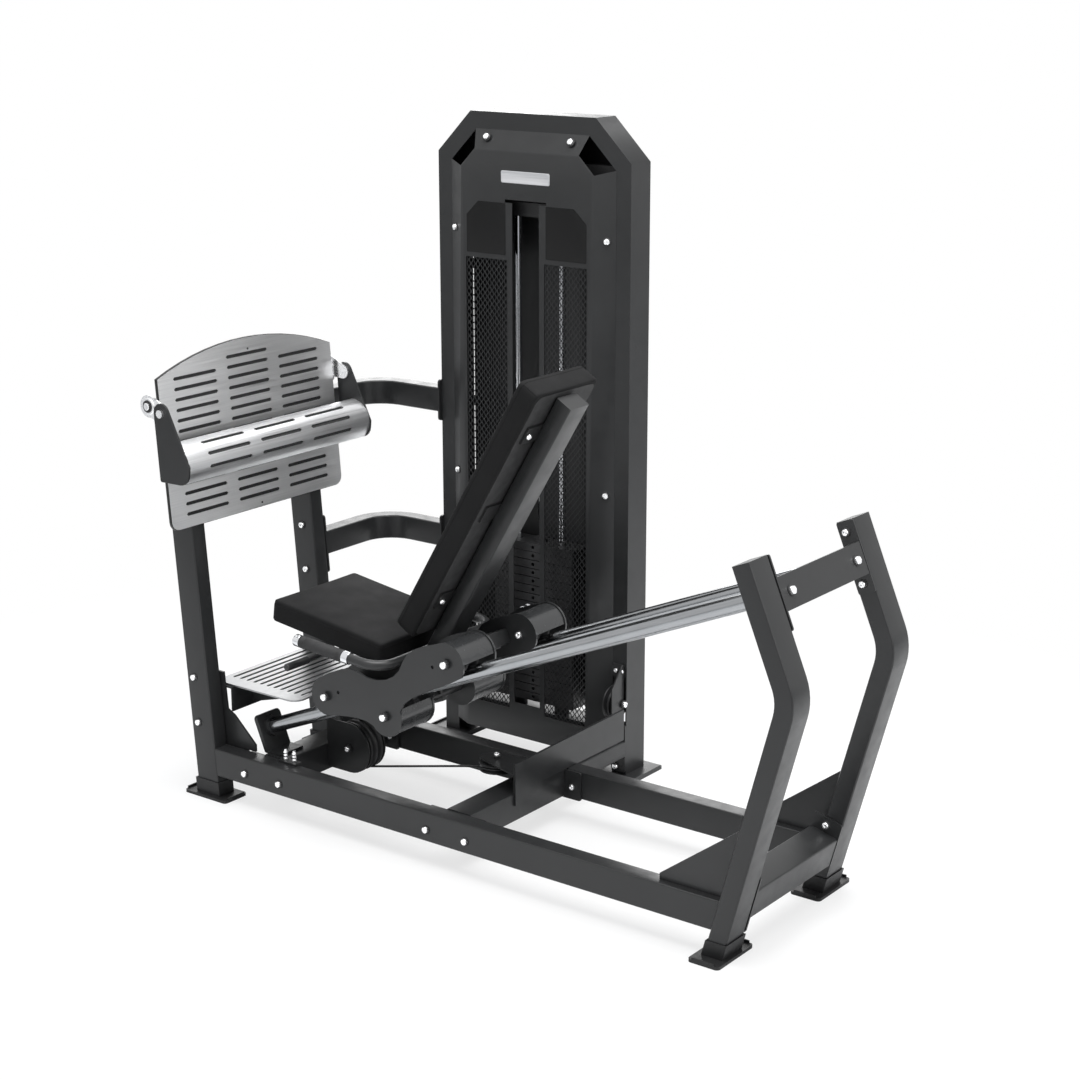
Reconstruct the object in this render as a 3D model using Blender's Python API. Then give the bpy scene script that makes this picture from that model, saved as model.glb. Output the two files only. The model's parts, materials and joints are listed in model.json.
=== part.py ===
"""A seated leg press with a weight tower, a sled on inclined rails and a calf roller.

Metres, +Z up. The user sits facing -X, so left is -Y and right is +Y.
The machine is drawn with x = 0 at the front posts' feet and y = 0 on the sled's middle plane.
At the end the whole assembly moves so that its footprint is centred on the origin.
"""
import math

import bpy
import bmesh
from mathutils import Matrix, Vector
from mathutils.geometry import tessellate_polygon

# Clearances
GAP = 0.0003
LAP = 0.0015

# Side frames
FRAME_Y = 0.2325
TUBE_THIN = 0.050
TUBE_WIDE = 0.080
FRONT_LEAN = math.radians(4.6)
FRONT_FOOT_X = -0.002
FRONT_TOP_Z = 1.120
RAIL_BOTTOM_Z = 0.066
RAIL_TOP_Z = RAIL_BOTTOM_Z + TUBE_WIDE
REAR_LEAN = math.radians(15.0)
REAR_FOOT_X = 1.659
KNEE_RADIUS = 0.125
GUSSET_LENGTH = 0.200
GUSSET_TOP_Z = 0.324
GUSSET_TIP = 0.015
GUSSET_PLATE = 0.008

# Feet
FOOT_PLATE_Z = 0.008
FOOT_LONG = 0.158
FOOT_SHORT = 0.086
SLEEVE_WALL = 0.003
SLEEVE_TOP_Z = 0.048
LIP_HEIGHT = 0.014
LIP_THICK = 0.004
LIP_INSET = 0.012

# Inclined rails, with s along them and h square to them
RAIL_TILT = math.radians(22.8)
RAIL_ORIGIN = (0.845, 0.503)
GAUGE_Y = 0.150
GUIDE_RADIUS = 0.021
GUIDE_START_S = -0.7597
GUIDE_END_S = 0.9967
END_PLATE = 0.008
FLANGE_PLATE = 0.005
REAR_POST_S = 0.9796
REAR_POST_TOP_H = 0.0954

# Crossmembers
PLATE = 0.006
CROSS_FRONT_X = 0.163
CROSS_MID_X = 0.8055
FLANGE_OVERHANG = 0.053
REAR_BAR_LOW = 0.095
INNER_FACE_Y = FRAME_Y - TUBE_THIN / 2

# Tower: a channel bent into an arch, a formed front cover and a flat back cover
TOWER_X = 0.5175
TOWER_FRONT_Y = 0.5475
TOWER_BACK_Y = 0.637
TOWER_HALF = 0.3282
TOWER_TOP_Z = 1.838
TOWER_TOP_HALF = 0.2124
TOWER_CORNER_Z = TOWER_TOP_Z - 0.115
CHANNEL_WIDTH = 0.0485
SHEET = 0.003
BEAM_Z = (0.050, 0.130)
TOWER_FOOT_X = 0.304
TOWER_FOOT_HALF = 0.0695
TOWER_FOOT_Y = (0.512, 0.670)
COVER_LAP = 0.0013
COVER_FACE_Y = 0.517
COVER_SIDE_RUN = 0.060
COVER_TOP_RUN = 0.057
COVER_CORNER_DROP = 0.0155
COVER_CORNER_SHIFT = 0.018
COVER_SHEET = 0.0025
COVER_LOW_Z = 0.050
BACK_COVER_INSET = 0.034
BACK_COVER_LOW_Z = 0.165
BACK_COVER_SHEET = 0.002
SLOT_HALF = 0.0461
SLOT_LOW_Z = 0.155
SLOT_TOP_Z = TOWER_TOP_Z - 0.231
SLOT_TAB = 0.0248
SLOT_TAB_HEIGHT = 0.009

# Weight stack
STACK_Y = 0.584
ROD_SPREAD = 0.076
ROD_RADIUS = 0.010
STACK_PITCH = 0.025
STACK_BOTTOM_Z = 0.160
RESTING_COUNT = 11
LIFTED_COUNT = 7
STACK_HALF_X = 0.140
STACK_HALF_Y = 0.0375
GROOVE = 0.0012
STEM_RADIUS = 0.011
STEM_COLLAR_RADIUS = 0.020
STEM_COLLAR_HEIGHT = 0.012
HANGER_ROD_RADIUS = 0.004
HANGER_ROD_TOP_Z = 0.700
STRAP_WIDTH = 0.015
STRAP_THICK = 0.003
STRAP_TOP_Z = 0.7495
STRAP_HOLES = 4
STRAP_PITCH = 0.011
PIN_RADIUS = 0.005
PIN_HEAD_RADIUS = 0.013
PIN_FIT = 0.0005

# Cable and pulleys; a pulley's radius is that of the cable's centre line on it
CABLE_RADIUS = 0.003
CABLE_Y = 0.0105
CABLE_LOW_Z = 0.177
TOWER_CABLE_X = TOWER_X + TOWER_HALF - 0.0327
FRONT_PULLEY = (0.324, 0.148)
FRONT_PULLEY_RADIUS = 0.066
MID_PULLEY_RADIUS = 0.042
MID_PULLEY = (TOWER_CABLE_X - MID_PULLEY_RADIUS, CABLE_Y + MID_PULLEY_RADIUS)
TOWER_PULLEY_RADIUS = 0.044
TOWER_PULLEY_Z = CABLE_LOW_Z + TOWER_PULLEY_RADIUS
TOP_PULLEY_RADIUS = 0.045
TOP_PULLEY_Z = TOWER_TOP_Z - 0.183
TOP_SPAN = TOWER_CABLE_X - TOWER_X - 2 * TOP_PULLEY_RADIUS
TOP_BAR_Z = TOP_PULLEY_Z - 0.095
TOP_BAR_HEIGHT = 0.038
CABLE_JOIN_Z = TOP_PULLEY_Z - 0.020
PULLEY_WIDTH = 0.022
PULLEY_RIM = 0.0055
AXLE_RADIUS = 0.006
BORE = AXLE_RADIUS + GAP
CABLE_ANCHOR = (-0.300, -0.0594)

# Sled
AXLE_FRONT = (-0.449, 0.0453)
AXLE_REAR = (-0.004, 0.0453)
AXLE_LOWER = (-0.265, -0.0453)
WHEEL_WIDTH = 0.050
WHEEL_FLANGE = 0.034
WHEEL_AXLE_RADIUS = 0.008
LOBE = 0.053
OUTER_PLATE_Y = 0.212
INNER_PLATE_Y = 0.084
WHEEL_COVER_SHEET = 0.003
CROSS_TUBE = 0.040

# Seat and back
SEAT_FRONT_TOP = (0.177, 0.579)
SEAT_TILT = math.radians(7.8)
SEAT_LENGTH = 0.390
SEAT_HALF = 0.164
SEAT_THICK = 0.060
BACK_LOW_FRONT = (0.577, 0.5796)
BACK_LEAN = math.radians(30.8)
BACK_LENGTH = 0.803
BACK_HALF = 0.130
BACK_THICK = 0.064
PAD_EDGE = 0.016
BACK_TUBE_DEEP = 0.080
BACK_TUBE_HALF = 0.025
BACK_TUBE_LOW = -0.100
STRAP_PLACES = (0.105, 0.400, 0.655)
STRAP_HALF = 0.100
SEAT_PLATE_HALF = 0.110
SEAT_TUBE_HALF = 0.028
SEAT_TUBE_DEEP = 0.056
SPINE = (-0.440, -0.030)
SPINE_H = (0.028, 0.074)
SPINE_HALF = 0.030
CROSS_TUBE_S = (-0.400, -0.060)
CROSS_TUBE_H = 0.031
HANDLE_RADIUS = 0.0135
HANDLE_Y = 0.240
HANDLE_FRONT = (0.3345, 0.517)
HANDLE_BEND = (0.620, 0.495)
HANDLE_FILLET = 0.060
LEVER_HINGE = (0.400, 0.455)
LEVER_GRIP_END = -0.281
LEVER_GRIP_LENGTH = 0.082
LEVER_GRIP_RADIUS = 0.0105

# Foot plate and calf roller
PLATE_LOW_Z = 0.7737
PLATE_HALF = 0.3355
PLATE_SIDE = 0.411
PLATE_CROWN = 0.064
BACKING_THICK = 0.008
TREAD_THICK = 0.002
SLOT_LENGTH = 0.160
SLOT_WIDTH = 0.0095
SLOT_PITCH = 0.0281
SLOT_COLUMN = 0.1995
SLOT_FIRST = 0.037
SLOT_ROWS = (14, 15, 14)
ROLLER_HINGE = (-0.013, 1.101)
ROLLER_CENTRE = (0.020, 0.965)
ROLLER_RADIUS = 0.060
ROLLER_SLOT_ANGLES = (-7, 27, 61)
ARM_Y = 0.3594
ARM_TOP_RADIUS = 0.027
LUG_TAB_Y = 0.285
LUG_HALF_HEIGHT = 0.028
LUG_FRONT = (-0.0655, 1.1135)

# Step
STEP_TOP_Z = 0.320
STEP_HALF = 0.196
STEP_FRONT_X = -0.020
STEP_REAR_X = 0.281
STEP_THICK = 0.0045
STEP_SIDE_TOP_Z = 0.355
STEP_SIDE_LOW_Z = 0.072
STEP_SIDE_X = 0.134
STEP_SIDE_DEPTH = 0.072
STEP_APRON_X = 0.050
STEP_APRON_Z = 0.245
STEP_ARM_Y = 0.125
STEP_ARM_X = 0.235
STEP_SLOT_HALF = 0.150
STEP_SLOT_PITCH = 0.0255
STEP_SLOTS = 11

# Braces between the right front post and the tower
BRACE_HEIGHT = 0.070
BRACE_BEND = 0.110
BRACE_Y = 0.566
LOWER_BRACE_Z = 0.606
UPPER_BRACE_Z = 1.010
BRACE_FLANGE_HALF = 0.085
TOWER_FLANGE_HALF = 0.060
TOWER_FLANGE_Y = (0.536, 0.632)

ROOT = None


def clear_scene():
    """Remove whatever the file holds."""
    for thing in list(bpy.data.objects):
        bpy.data.objects.remove(thing, do_unlink=True)


def material(name, colour, roughness, metallic=0.0):
    """Return a Principled material, made once for each name."""
    if name in bpy.data.materials:
        return bpy.data.materials[name]
    made = bpy.data.materials.new(name)
    made.use_nodes = True
    shader = made.node_tree.nodes["Principled BSDF"]
    shader.inputs["Base Color"].default_value = (*colour, 1.0)
    shader.inputs["Roughness"].default_value = roughness
    shader.inputs["Metallic"].default_value = metallic
    return made


def powder_coat(name):
    return material(name + "_coat", (0.062, 0.066, 0.068), 0.42, 0.35)


def black_plastic(name):
    return material(name + "_black", (0.012, 0.012, 0.013), 0.55)


def upholstery(name):
    return material(name + "_vinyl", (0.010, 0.010, 0.011), 0.60)


def chrome(name):
    return material(name + "_chrome", (0.78, 0.79, 0.80), 0.08, 1.0)


def steel(name):
    return material(name + "_steel", (0.50, 0.50, 0.50), 0.30, 1.0)


def cable_black(name):
    return material(name + "_sheath", (0.015, 0.015, 0.016), 0.45)


def new_object(name, mesh):
    """Link one object and hang it from the assembly's root."""
    made = bpy.data.objects.new(name, mesh)
    bpy.context.scene.collection.objects.link(made)
    made.parent = ROOT
    return made


def from_bmesh(name, bm):
    """Turn a bmesh into an object with faces that look outwards."""
    bmesh.ops.recalc_face_normals(bm, faces=bm.faces)
    mesh = bpy.data.meshes.new(name)
    bm.to_mesh(mesh)
    bm.free()
    return new_object(name, mesh)


def in_xz(y=0.0):
    """Map (u, v, w) to (x, z, y)."""
    return Matrix(((1, 0, 0, 0), (0, 0, 1, y), (0, 1, 0, 0), (0, 0, 0, 1)))


def in_yz(x=0.0):
    """Map (u, v, w) to (y, z, x)."""
    return Matrix(((0, 0, 1, x), (1, 0, 0, 0), (0, 1, 0, 0), (0, 0, 0, 1)))


def in_xy(z=0.0):
    return Matrix.Translation((0, 0, z))


def tilted(origin, angle):
    """Map (u, v, w) to a plane of (x, z) that is turned up by angle, with w as y."""
    cos, sin = math.cos(angle), math.sin(angle)
    x, z = origin
    return Matrix(((cos, -sin, 0, x), (0, 0, 1, 0), (sin, cos, 0, z), (0, 0, 0, 1)))


def rails():
    """The frame of the inclined rails: u is s, v is h and w is y."""
    return tilted(RAIL_ORIGIN, RAIL_TILT)


def rail_point(s, h, y=0.0):
    return rails() @ Vector((s, h, y))


def arc(centre, radius, start, end, steps):
    """Points of an arc, with its angles in degrees."""
    points = []
    for i in range(steps + 1):
        angle = math.radians(start + (end - start) * i / steps)
        points.append((centre[0] + radius * math.cos(angle), centre[1] + radius * math.sin(angle)))
    return points


def bezier(start, lead, trail, end, steps):
    """Points inside a cubic curve, without its two ends."""
    a, b, c, d = (Vector(p) for p in (start, lead, trail, end))
    points = []
    for i in range(1, steps):
        t = i / steps
        r = 1 - t
        points.append(tuple(a * r**3 + b * (3 * r * r * t) + c * (3 * r * t * t) + d * t**3))
    return points


def rounded(corners, radii, steps=4):
    """Round the corners of a closed outline; radii is one value or one for each corner."""
    if not isinstance(radii, (list, tuple)):
        radii = [radii] * len(corners)
    points = []
    for i, corner in enumerate(corners):
        here = Vector(corner)
        before = (Vector(corners[i - 1]) - here).normalized()
        after = (Vector(corners[(i + 1) % len(corners)]) - here).normalized()
        if radii[i] <= 0:
            points.append(tuple(here))
            continue
        half = before.angle(after) / 2
        reach = radii[i] / math.tan(half)
        centre = here + (before + after).normalized() * radii[i] / math.sin(half)
        first = here + before * reach - centre
        last = here + after * reach - centre
        turn = first.angle_signed(last)
        for k in range(steps + 1):
            points.append(tuple(centre + Matrix.Rotation(-turn * k / steps, 2) @ first))
    return points


def box_outline(u0, u1, v0, v1):
    return [(u0, v0), (u1, v0), (u1, v1), (u0, v1)]


def circle(centre, radius, steps=24):
    return arc(centre, radius, 0, 360 - 360 / steps, steps - 1)


def slot_outline(u0, u1, v, width, steps=2):
    """A round-ended slot that runs along u."""
    r = width / 2
    return arc((u1 - r, v), r, -90, 90, steps) + arc((u0 + r, v), r, 90, 270, steps)


def plate(name, outline, w0, w1, frame, holes=()):
    """A flat plate with holes: an outline in (u, v), thick from w0 to w1."""
    bm = bmesh.new()
    loops = [list(outline)] + [list(hole) for hole in holes]
    flat = [point for loop in loops for point in loop]
    low = [bm.verts.new(frame @ Vector((u, v, w0))) for u, v in flat]
    high = [bm.verts.new(frame @ Vector((u, v, w1))) for u, v in flat]
    for tri in tessellate_polygon([[Vector((u, v, 0)) for u, v in loop] for loop in loops]):
        bm.faces.new([low[i] for i in tri])
        bm.faces.new([high[i] for i in reversed(tri)])
    start = 0
    for loop in loops:
        count = len(loop)
        for i in range(count):
            a, b = start + i, start + (i + 1) % count
            bm.faces.new((low[a], low[b], high[b], high[a]))
        start += count
    return from_bmesh(name, bm)


def loft(name, rings):
    """A solid through rings of equal point count, closed by a face at each end."""
    bm = bmesh.new()
    rows = [[bm.verts.new(point) for point in ring] for ring in rings]
    count = len(rows[0])
    for row, following in zip(rows, rows[1:]):
        for i in range(count):
            j = (i + 1) % count
            bm.faces.new((row[i], row[j], following[j], following[i]))
    for row, points in ((rows[0], rings[0]), (rows[-1], rings[-1])):
        for tri in tessellate_polygon([[Vector(p) for p in points]]):
            bm.faces.new([row[i] for i in tri])
    return from_bmesh(name, bm)


def box(name, x0, x1, y0, y1, z0, z1):
    return plate(name, box_outline(x0, x1, y0, y1), z0, z1, in_xy())


def fillet_path(corners, radius, steps):
    """Points along a line of corners, each inner corner rounded to the given radius."""
    points = [Vector(corners[0])]
    for before, here, after in zip(corners, corners[1:], corners[2:]):
        here = Vector(here)
        back = (Vector(before) - here).normalized()
        on = (Vector(after) - here).normalized()
        half = back.angle(on) / 2
        centre = here + (back + on).normalized() * radius / math.sin(half)
        first = here + back * (radius / math.tan(half)) - centre
        axis = back.cross(on).normalized()
        for k in range(steps + 1):
            turn = Matrix.Rotation(-(math.pi - 2 * half) * k / steps, 3, axis)
            points.append(centre + turn @ first)
    points.append(Vector(corners[-1]))
    return points


def sweep(name, path, section, side, start_face=None, end_face=None):
    """Carry a section of (a, b) along a path; a runs along side and b square to it.

    start_face and end_face are the normals of slanted ends.
    """
    rings = []
    last = len(path) - 1
    for i, point in enumerate(path):
        ahead = path[min(i + 1, last)] - point if i < last else point - path[i - 1]
        behind = point - path[i - 1] if i else ahead
        along = (ahead.normalized() + behind.normalized()).normalized()
        spread = 1 / max(along.dot(ahead.normalized()), 0.5)
        up = along.cross(side).normalized()
        ring = [point + side * a + up * b * spread for a, b in section]
        slant = start_face if i == 0 else end_face if i == last else None
        if slant is not None:
            ring = [p - along * ((p - point).dot(slant) / along.dot(slant)) for p in ring]
        rings.append(ring)
    return loft(name, rings)


def bar_section(width, height, corner=0.004):
    """A rectangular tube's outline with small bevelled corners."""
    a, b = width / 2, height / 2
    return rounded([(-a, -b), (a, -b), (a, b), (-a, b)], corner, 1)


def revolve(name, profile, centre, axis, steps=24):
    """Turn a closed profile of (radius, offset) round an axis through centre."""
    axis = Vector(axis).normalized()
    arm = axis.orthogonal().normalized()
    bm = bmesh.new()
    rows = []
    for i in range(steps):
        out = Matrix.Rotation(2 * math.pi * i / steps, 3, axis) @ arm
        rows.append([bm.verts.new(Vector(centre) + out * r + axis * w) for r, w in profile])
    count = len(profile)
    for i, row in enumerate(rows):
        following = rows[(i + 1) % steps]
        for k in range(count):
            n = (k + 1) % count
            bm.faces.new((row[k], row[n], following[n], following[k]))
    return from_bmesh(name, bm)


def rod(name, start, end, radius, steps=16):
    """A plain round bar between two points."""
    start, end = Vector(start), Vector(end)
    axis = (end - start).normalized()
    arm = axis.orthogonal().normalized() * radius
    turns = [Matrix.Rotation(2 * math.pi * i / steps, 3, axis) @ arm for i in range(steps)]
    return loft(name, [[start + t for t in turns], [end + t for t in turns]])


def combine(target, others, operation):
    """Apply exact Booleans to target and remove the pieces used."""
    for other in others:
        step = target.modifiers.new("step", "BOOLEAN")
        step.operation = operation
        step.solver = "EXACT"
        step.object = other
    graph = bpy.context.evaluated_depsgraph_get()
    solid = bpy.data.meshes.new_from_object(target.evaluated_get(graph))
    target.modifiers.clear()
    target.data = solid
    for other in others:
        bpy.data.objects.remove(other, do_unlink=True)
    return target


def fuse(target, *others):
    return combine(target, others, "UNION")


def cut(target, *others):
    return combine(target, others, "DIFFERENCE")


def finish(made, paint):
    """Give an object its one material."""
    made.data.materials.clear()
    made.data.materials.append(paint(made.name))
    return made


def set_pivot(made, point):
    """Move an object's origin to a point on its joint's axis without moving its shape."""
    point = Vector(point)
    made.data.transform(Matrix.Translation(-point))
    made.location = point
    return made


def sides():
    """Yield each side's name and its sign along Y."""
    return (("left", -1), ("right", 1))


def both(sign, low, high):
    """Order a pair of distances from the middle plane on the side given by sign."""
    return (low, high) if sign > 0 else (-high, -low)


def rail_face():
    """Map (h, y, s): a plane square to the inclined rails."""
    cos, sin = math.cos(RAIL_TILT), math.sin(RAIL_TILT)
    x, z = RAIL_ORIGIN
    return Matrix(((-sin, 0, cos, x), (0, 1, 0, 0), (cos, 0, sin, z), (0, 0, 0, 1)))


def in_yx(z=0.0):
    """Map (u, v, w) to (y, x, z)."""
    return Matrix(((0, 1, 0, 0), (1, 0, 0, 0), (0, 0, 1, z), (0, 0, 0, 1)))


def front_face(z):
    """X of the front posts' rear face at height z."""
    return FRONT_FOOT_X - z * math.tan(FRONT_LEAN) + TUBE_WIDE / 2 / math.cos(FRONT_LEAN)


def front_axis(z):
    return FRONT_FOOT_X - z * math.tan(FRONT_LEAN)


def rear_face(z):
    """X of the rear posts' front face at height z."""
    return REAR_FOOT_X + z * math.tan(REAR_LEAN) - TUBE_THIN / 2 / math.cos(REAR_LEAN)


def rear_axis(z):
    return REAR_FOOT_X + z * math.tan(REAR_LEAN)


def turned(name, start, axis, steps_along, count=16):
    """A solid of revolution that reaches its axis, from (offset, radius) pairs."""
    axis = Vector(axis).normalized()
    arm = axis.orthogonal().normalized()
    turns = [Matrix.Rotation(2 * math.pi * i / count, 3, axis) @ arm for i in range(count)]
    return loft(name, [[Vector(start) + axis * w + t * r for t in turns] for w, r in steps_along])


def leaning_prism(name, axis_x, y, half_x, half_y, z0, z1):
    """A prism that follows a leaning post from z0 to z1."""
    rings = []
    for z in (z0, z1):
        x = axis_x(z)
        rings.append([(x + a * half_x, y + b * half_y, z) for a, b in ((-1, -1), (1, -1), (1, 1), (-1, 1))])
    return loft(name, [[Vector(p) for p in ring] for ring in rings])


Y_AXIS = Vector((0, 1, 0))
Z_AXIS = Vector((0, 0, 1))


def build_foot(name, axis_x, y, size, tube, lean):
    """A foot plate with upturned lips at its narrow ends and a sleeve round the post."""
    x = axis_x(0)
    long_x, long_y = size[0] / 2, size[1] / 2
    base = plate(name, rounded(box_outline(x - long_x, x + long_x, y - long_y, y + long_y), 0.010),
                 0, FOOT_PLATE_Z, in_xy())
    pieces = []
    for sign in (-1, 1):
        if size[0] > size[1]:
            x0, x1 = sorted((x + sign * (long_x - GAP), x + sign * (long_x - LIP_THICK)))
            lip = box("lip", x0, x1, y - long_y + LIP_INSET, y + long_y - LIP_INSET, LAP, LIP_HEIGHT)
        else:
            y0, y1 = sorted((y + sign * (long_y - GAP), y + sign * (long_y - LIP_THICK)))
            lip = box("lip", x - long_x + LIP_INSET, x + long_x - LIP_INSET, y0, y1, LAP, LIP_HEIGHT)
        pieces.append(lip)
    half_x = tube[0] / 2 / math.cos(lean) + GAP
    half_y = tube[1] / 2 + GAP
    pieces.append(leaning_prism("sleeve", axis_x, y, half_x + SLEEVE_WALL, half_y + SLEEVE_WALL,
                                FOOT_PLATE_Z - LAP, SLEEVE_TOP_Z))
    fuse(base, *pieces)
    cut(base, leaning_prism("bore", axis_x, y, half_x, half_y, FOOT_PLATE_Z - GAP, SLEEVE_TOP_Z + LAP))
    return finish(base, black_plastic)


def build_side_frames():
    knee_run = (REAR_POST_S - (REAR_FOOT_X - RAIL_ORIGIN[0]) * math.cos(RAIL_TILT)
                + RAIL_ORIGIN[1] * math.sin(RAIL_TILT))
    knee_t = knee_run / math.sin(REAR_LEAN + RAIL_TILT)
    for side, sign in sides():
        y = sign * FRAME_Y
        low = FOOT_PLATE_Z
        post = sweep("front_post_" + side,
                     [Vector((front_axis(z), y, z)) for z in (low, FRONT_TOP_Z)],
                     bar_section(TUBE_THIN, TUBE_WIDE), Y_AXIS, Z_AXIS, Z_AXIS)
        finish(post, powder_coat)
        build_foot("front_foot_" + side, front_axis, y, (FOOT_LONG, FOOT_SHORT),
                   (TUBE_WIDE, TUBE_THIN), FRONT_LEAN)

        knee = Vector((REAR_FOOT_X + knee_t * math.sin(REAR_LEAN), y, knee_t * math.cos(REAR_LEAN)))
        path = fillet_path([(rear_axis(low), y, low), knee, rail_point(REAR_POST_S, REAR_POST_TOP_H, y)],
                           KNEE_RADIUS, 6)
        post = sweep("rear_post_" + side, path, bar_section(TUBE_WIDE, TUBE_THIN), Y_AXIS, Z_AXIS)
        finish(post, powder_coat)
        build_foot("rear_foot_" + side, rear_axis, y, (FOOT_SHORT, FOOT_LONG),
                   (TUBE_THIN, TUBE_WIDE), REAR_LEAN)
        build_base_rail(side, y)


def build_base_rail(side, y):
    """The lower rail between a front and a rear post, with the welded gusset at its rear."""
    mid_z = (RAIL_BOTTOM_Z + RAIL_TOP_Z) / 2
    front_normal = Vector((math.cos(FRONT_LEAN), 0, math.sin(FRONT_LEAN)))
    rear_normal = Vector((math.cos(REAR_LEAN), 0, -math.sin(REAR_LEAN)))
    rail = sweep("base_rail_" + side,
                 [Vector((front_face(mid_z) + GAP, y, mid_z)), Vector((rear_face(mid_z) - GAP, y, mid_z))],
                 bar_section(TUBE_THIN, TUBE_WIDE), Y_AXIS, front_normal, rear_normal)
    top_z = GUSSET_TOP_Z
    foot_z = RAIL_TOP_Z - LAP
    toe = rear_face(foot_z) - GUSSET_LENGTH + GUSSET_TIP
    outline = [(toe, foot_z), (rear_face(foot_z) - GAP, foot_z), (rear_face(top_z) - GAP, top_z),
               (rear_face(top_z) - GUSSET_TIP, top_z), (toe, RAIL_TOP_Z + GUSSET_TIP + 0.001)]
    fuse(rail, plate("gusset", outline, y - GUSSET_PLATE / 2, y + GUSSET_PLATE / 2, in_xz()))
    finish(rail, powder_coat)


def build_crossmember(name, x0):
    """A cross tube between the base rails with a flange at each end."""
    tube = plate(name, rounded(box_outline(x0, x0 + TUBE_WIDE, RAIL_BOTTOM_Z, RAIL_TOP_Z), 0.004, 1),
                 -INNER_FACE_Y + PLATE, INNER_FACE_Y - PLATE, in_xz())
    flange = rounded(box_outline(x0 - FLANGE_OVERHANG, x0 + TUBE_WIDE + FLANGE_OVERHANG,
                                 RAIL_BOTTOM_Z - 0.003, RAIL_TOP_Z - 0.0025), 0.006, 2)
    pieces = []
    for side, sign in sides():
        w0, w1 = both(sign, INNER_FACE_Y - GAP - PLATE, INNER_FACE_Y - GAP)
        pieces.append(plate("flange", flange, w0, w1, in_xz()))
    return fuse(tube, *pieces)


def build_front_crossmember():
    member = build_crossmember("front_crossmember", CROSS_FRONT_X)
    face = CROSS_FRONT_X + TUBE_WIDE - LAP
    x, z = FRONT_PULLEY
    rim = FRONT_PULLEY_RADIUS + PULLEY_RIM
    cheek = [(face, z - rim)] + arc((x, z), rim, -90, 90, 16) + [(face, z + rim)]
    pieces = []
    for side, sign in sides():
        w0, w1 = both(sign, 0.030, 0.034)
        pieces.append(plate("cheek", cheek, w0, w1, in_xz()))
    pieces.append(turned("axle", (x, 0, z), Y_AXIS, [(-0.042, 0.011), (-0.0335, 0.011), (-0.0335, AXLE_RADIUS),
                                                     (0.0335, AXLE_RADIUS), (0.0335, 0.011), (0.042, 0.011)]))
    finish(fuse(member, *pieces), powder_coat)


def build_mid_crossmember():
    """The second cross tube, with the cable's guard plate and the flat pulley's hanger."""
    member = build_crossmember("mid_crossmember", CROSS_MID_X)
    face = CROSS_MID_X + TUBE_WIDE
    over_rail = RAIL_TOP_Z + 0.001
    guard = [(-0.023, 0.113), (0.097, 0.113), (0.097, over_rail), (0.470, over_rail), (0.470, 0.236),
             (-0.023, 0.228)]
    x, y = MID_PULLEY
    hanger = [(face + 0.002, 0.108)] + arc((x - 0.018, y), 0.032, 95, 265, 8) + [(face + 0.002, -0.018)]
    hanger_z = CABLE_LOW_Z + 0.015
    axle = turned("axle", (x, y, 0), Z_AXIS, [(0.1560, 0.011), (0.1650, 0.011), (0.1650, AXLE_RADIUS),
                                              (0.1955, AXLE_RADIUS), (0.1955, 0.010), (0.2030, 0.010)])
    finish(fuse(member, plate("guard", guard, face - LAP, face + PLATE, in_yz()),
                plate("hanger", hanger, hanger_z, hanger_z + 0.004, in_xy()), axle), powder_coat)


def build_rear_crossbar():
    """The tilted cross tube between the rear posts, with its end flanges."""
    frame = tilted((REAR_FOOT_X, 0), math.pi / 2 - REAR_LEAN)
    inner = FRAME_Y - TUBE_WIDE / 2
    rear, front = -TUBE_THIN / 2, TUBE_WIDE - TUBE_THIN / 2
    bar = plate("rear_crossbar", rounded(box_outline(REAR_BAR_LOW, REAR_BAR_LOW + TUBE_WIDE, rear, front), 0.004, 1),
                -inner + FLANGE_PLATE, inner - FLANGE_PLATE, frame)
    flange = rounded(box_outline(REAR_BAR_LOW - 0.036, REAR_BAR_LOW + TUBE_WIDE + 0.040, rear - LAP, front + LAP),
                     0.006, 2)
    pieces = []
    for side, sign in sides():
        w0, w1 = both(sign, inner - GAP - FLANGE_PLATE, inner - GAP)
        pieces.append(plate("flange", flange, w0, w1, frame))
    finish(fuse(bar, *pieces), powder_coat)


def build_guide_rails():
    axis = Vector((math.cos(RAIL_TILT), 0, math.sin(RAIL_TILT)))
    for side, sign in sides():
        y = sign * GAUGE_Y
        finish(rod("guide_rail_" + side, rail_point(GUIDE_START_S, 0, y), rail_point(GUIDE_END_S, 0, y),
                   GUIDE_RADIUS, 32), chrome)

        face = GUIDE_START_S - GAP
        y0, y1 = both(sign, GAUGE_Y - 0.045, GAUGE_Y + 0.045)
        socket = plate("rail_socket_" + side, rounded([(-0.062, y0), (0.041, y0), (0.041, y1), (-0.062, y1)],
                                                     [0, 0.012, 0.012, 0]), face - 0.012, face, rail_face())
        collar = revolve("collar", [(GUIDE_RADIUS + GAP, -LAP), (0.029, -LAP), (0.029, 0.012),
                                    (GUIDE_RADIUS + GAP, 0.012)], rail_point(face, 0, y), axis, 32)
        foot = box("foot", 0.160, 0.215, y0, y1, RAIL_TOP_Z + GAP, RAIL_TOP_Z + GAP + PLATE)
        finish(fuse(socket, collar, foot), powder_coat)


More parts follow.
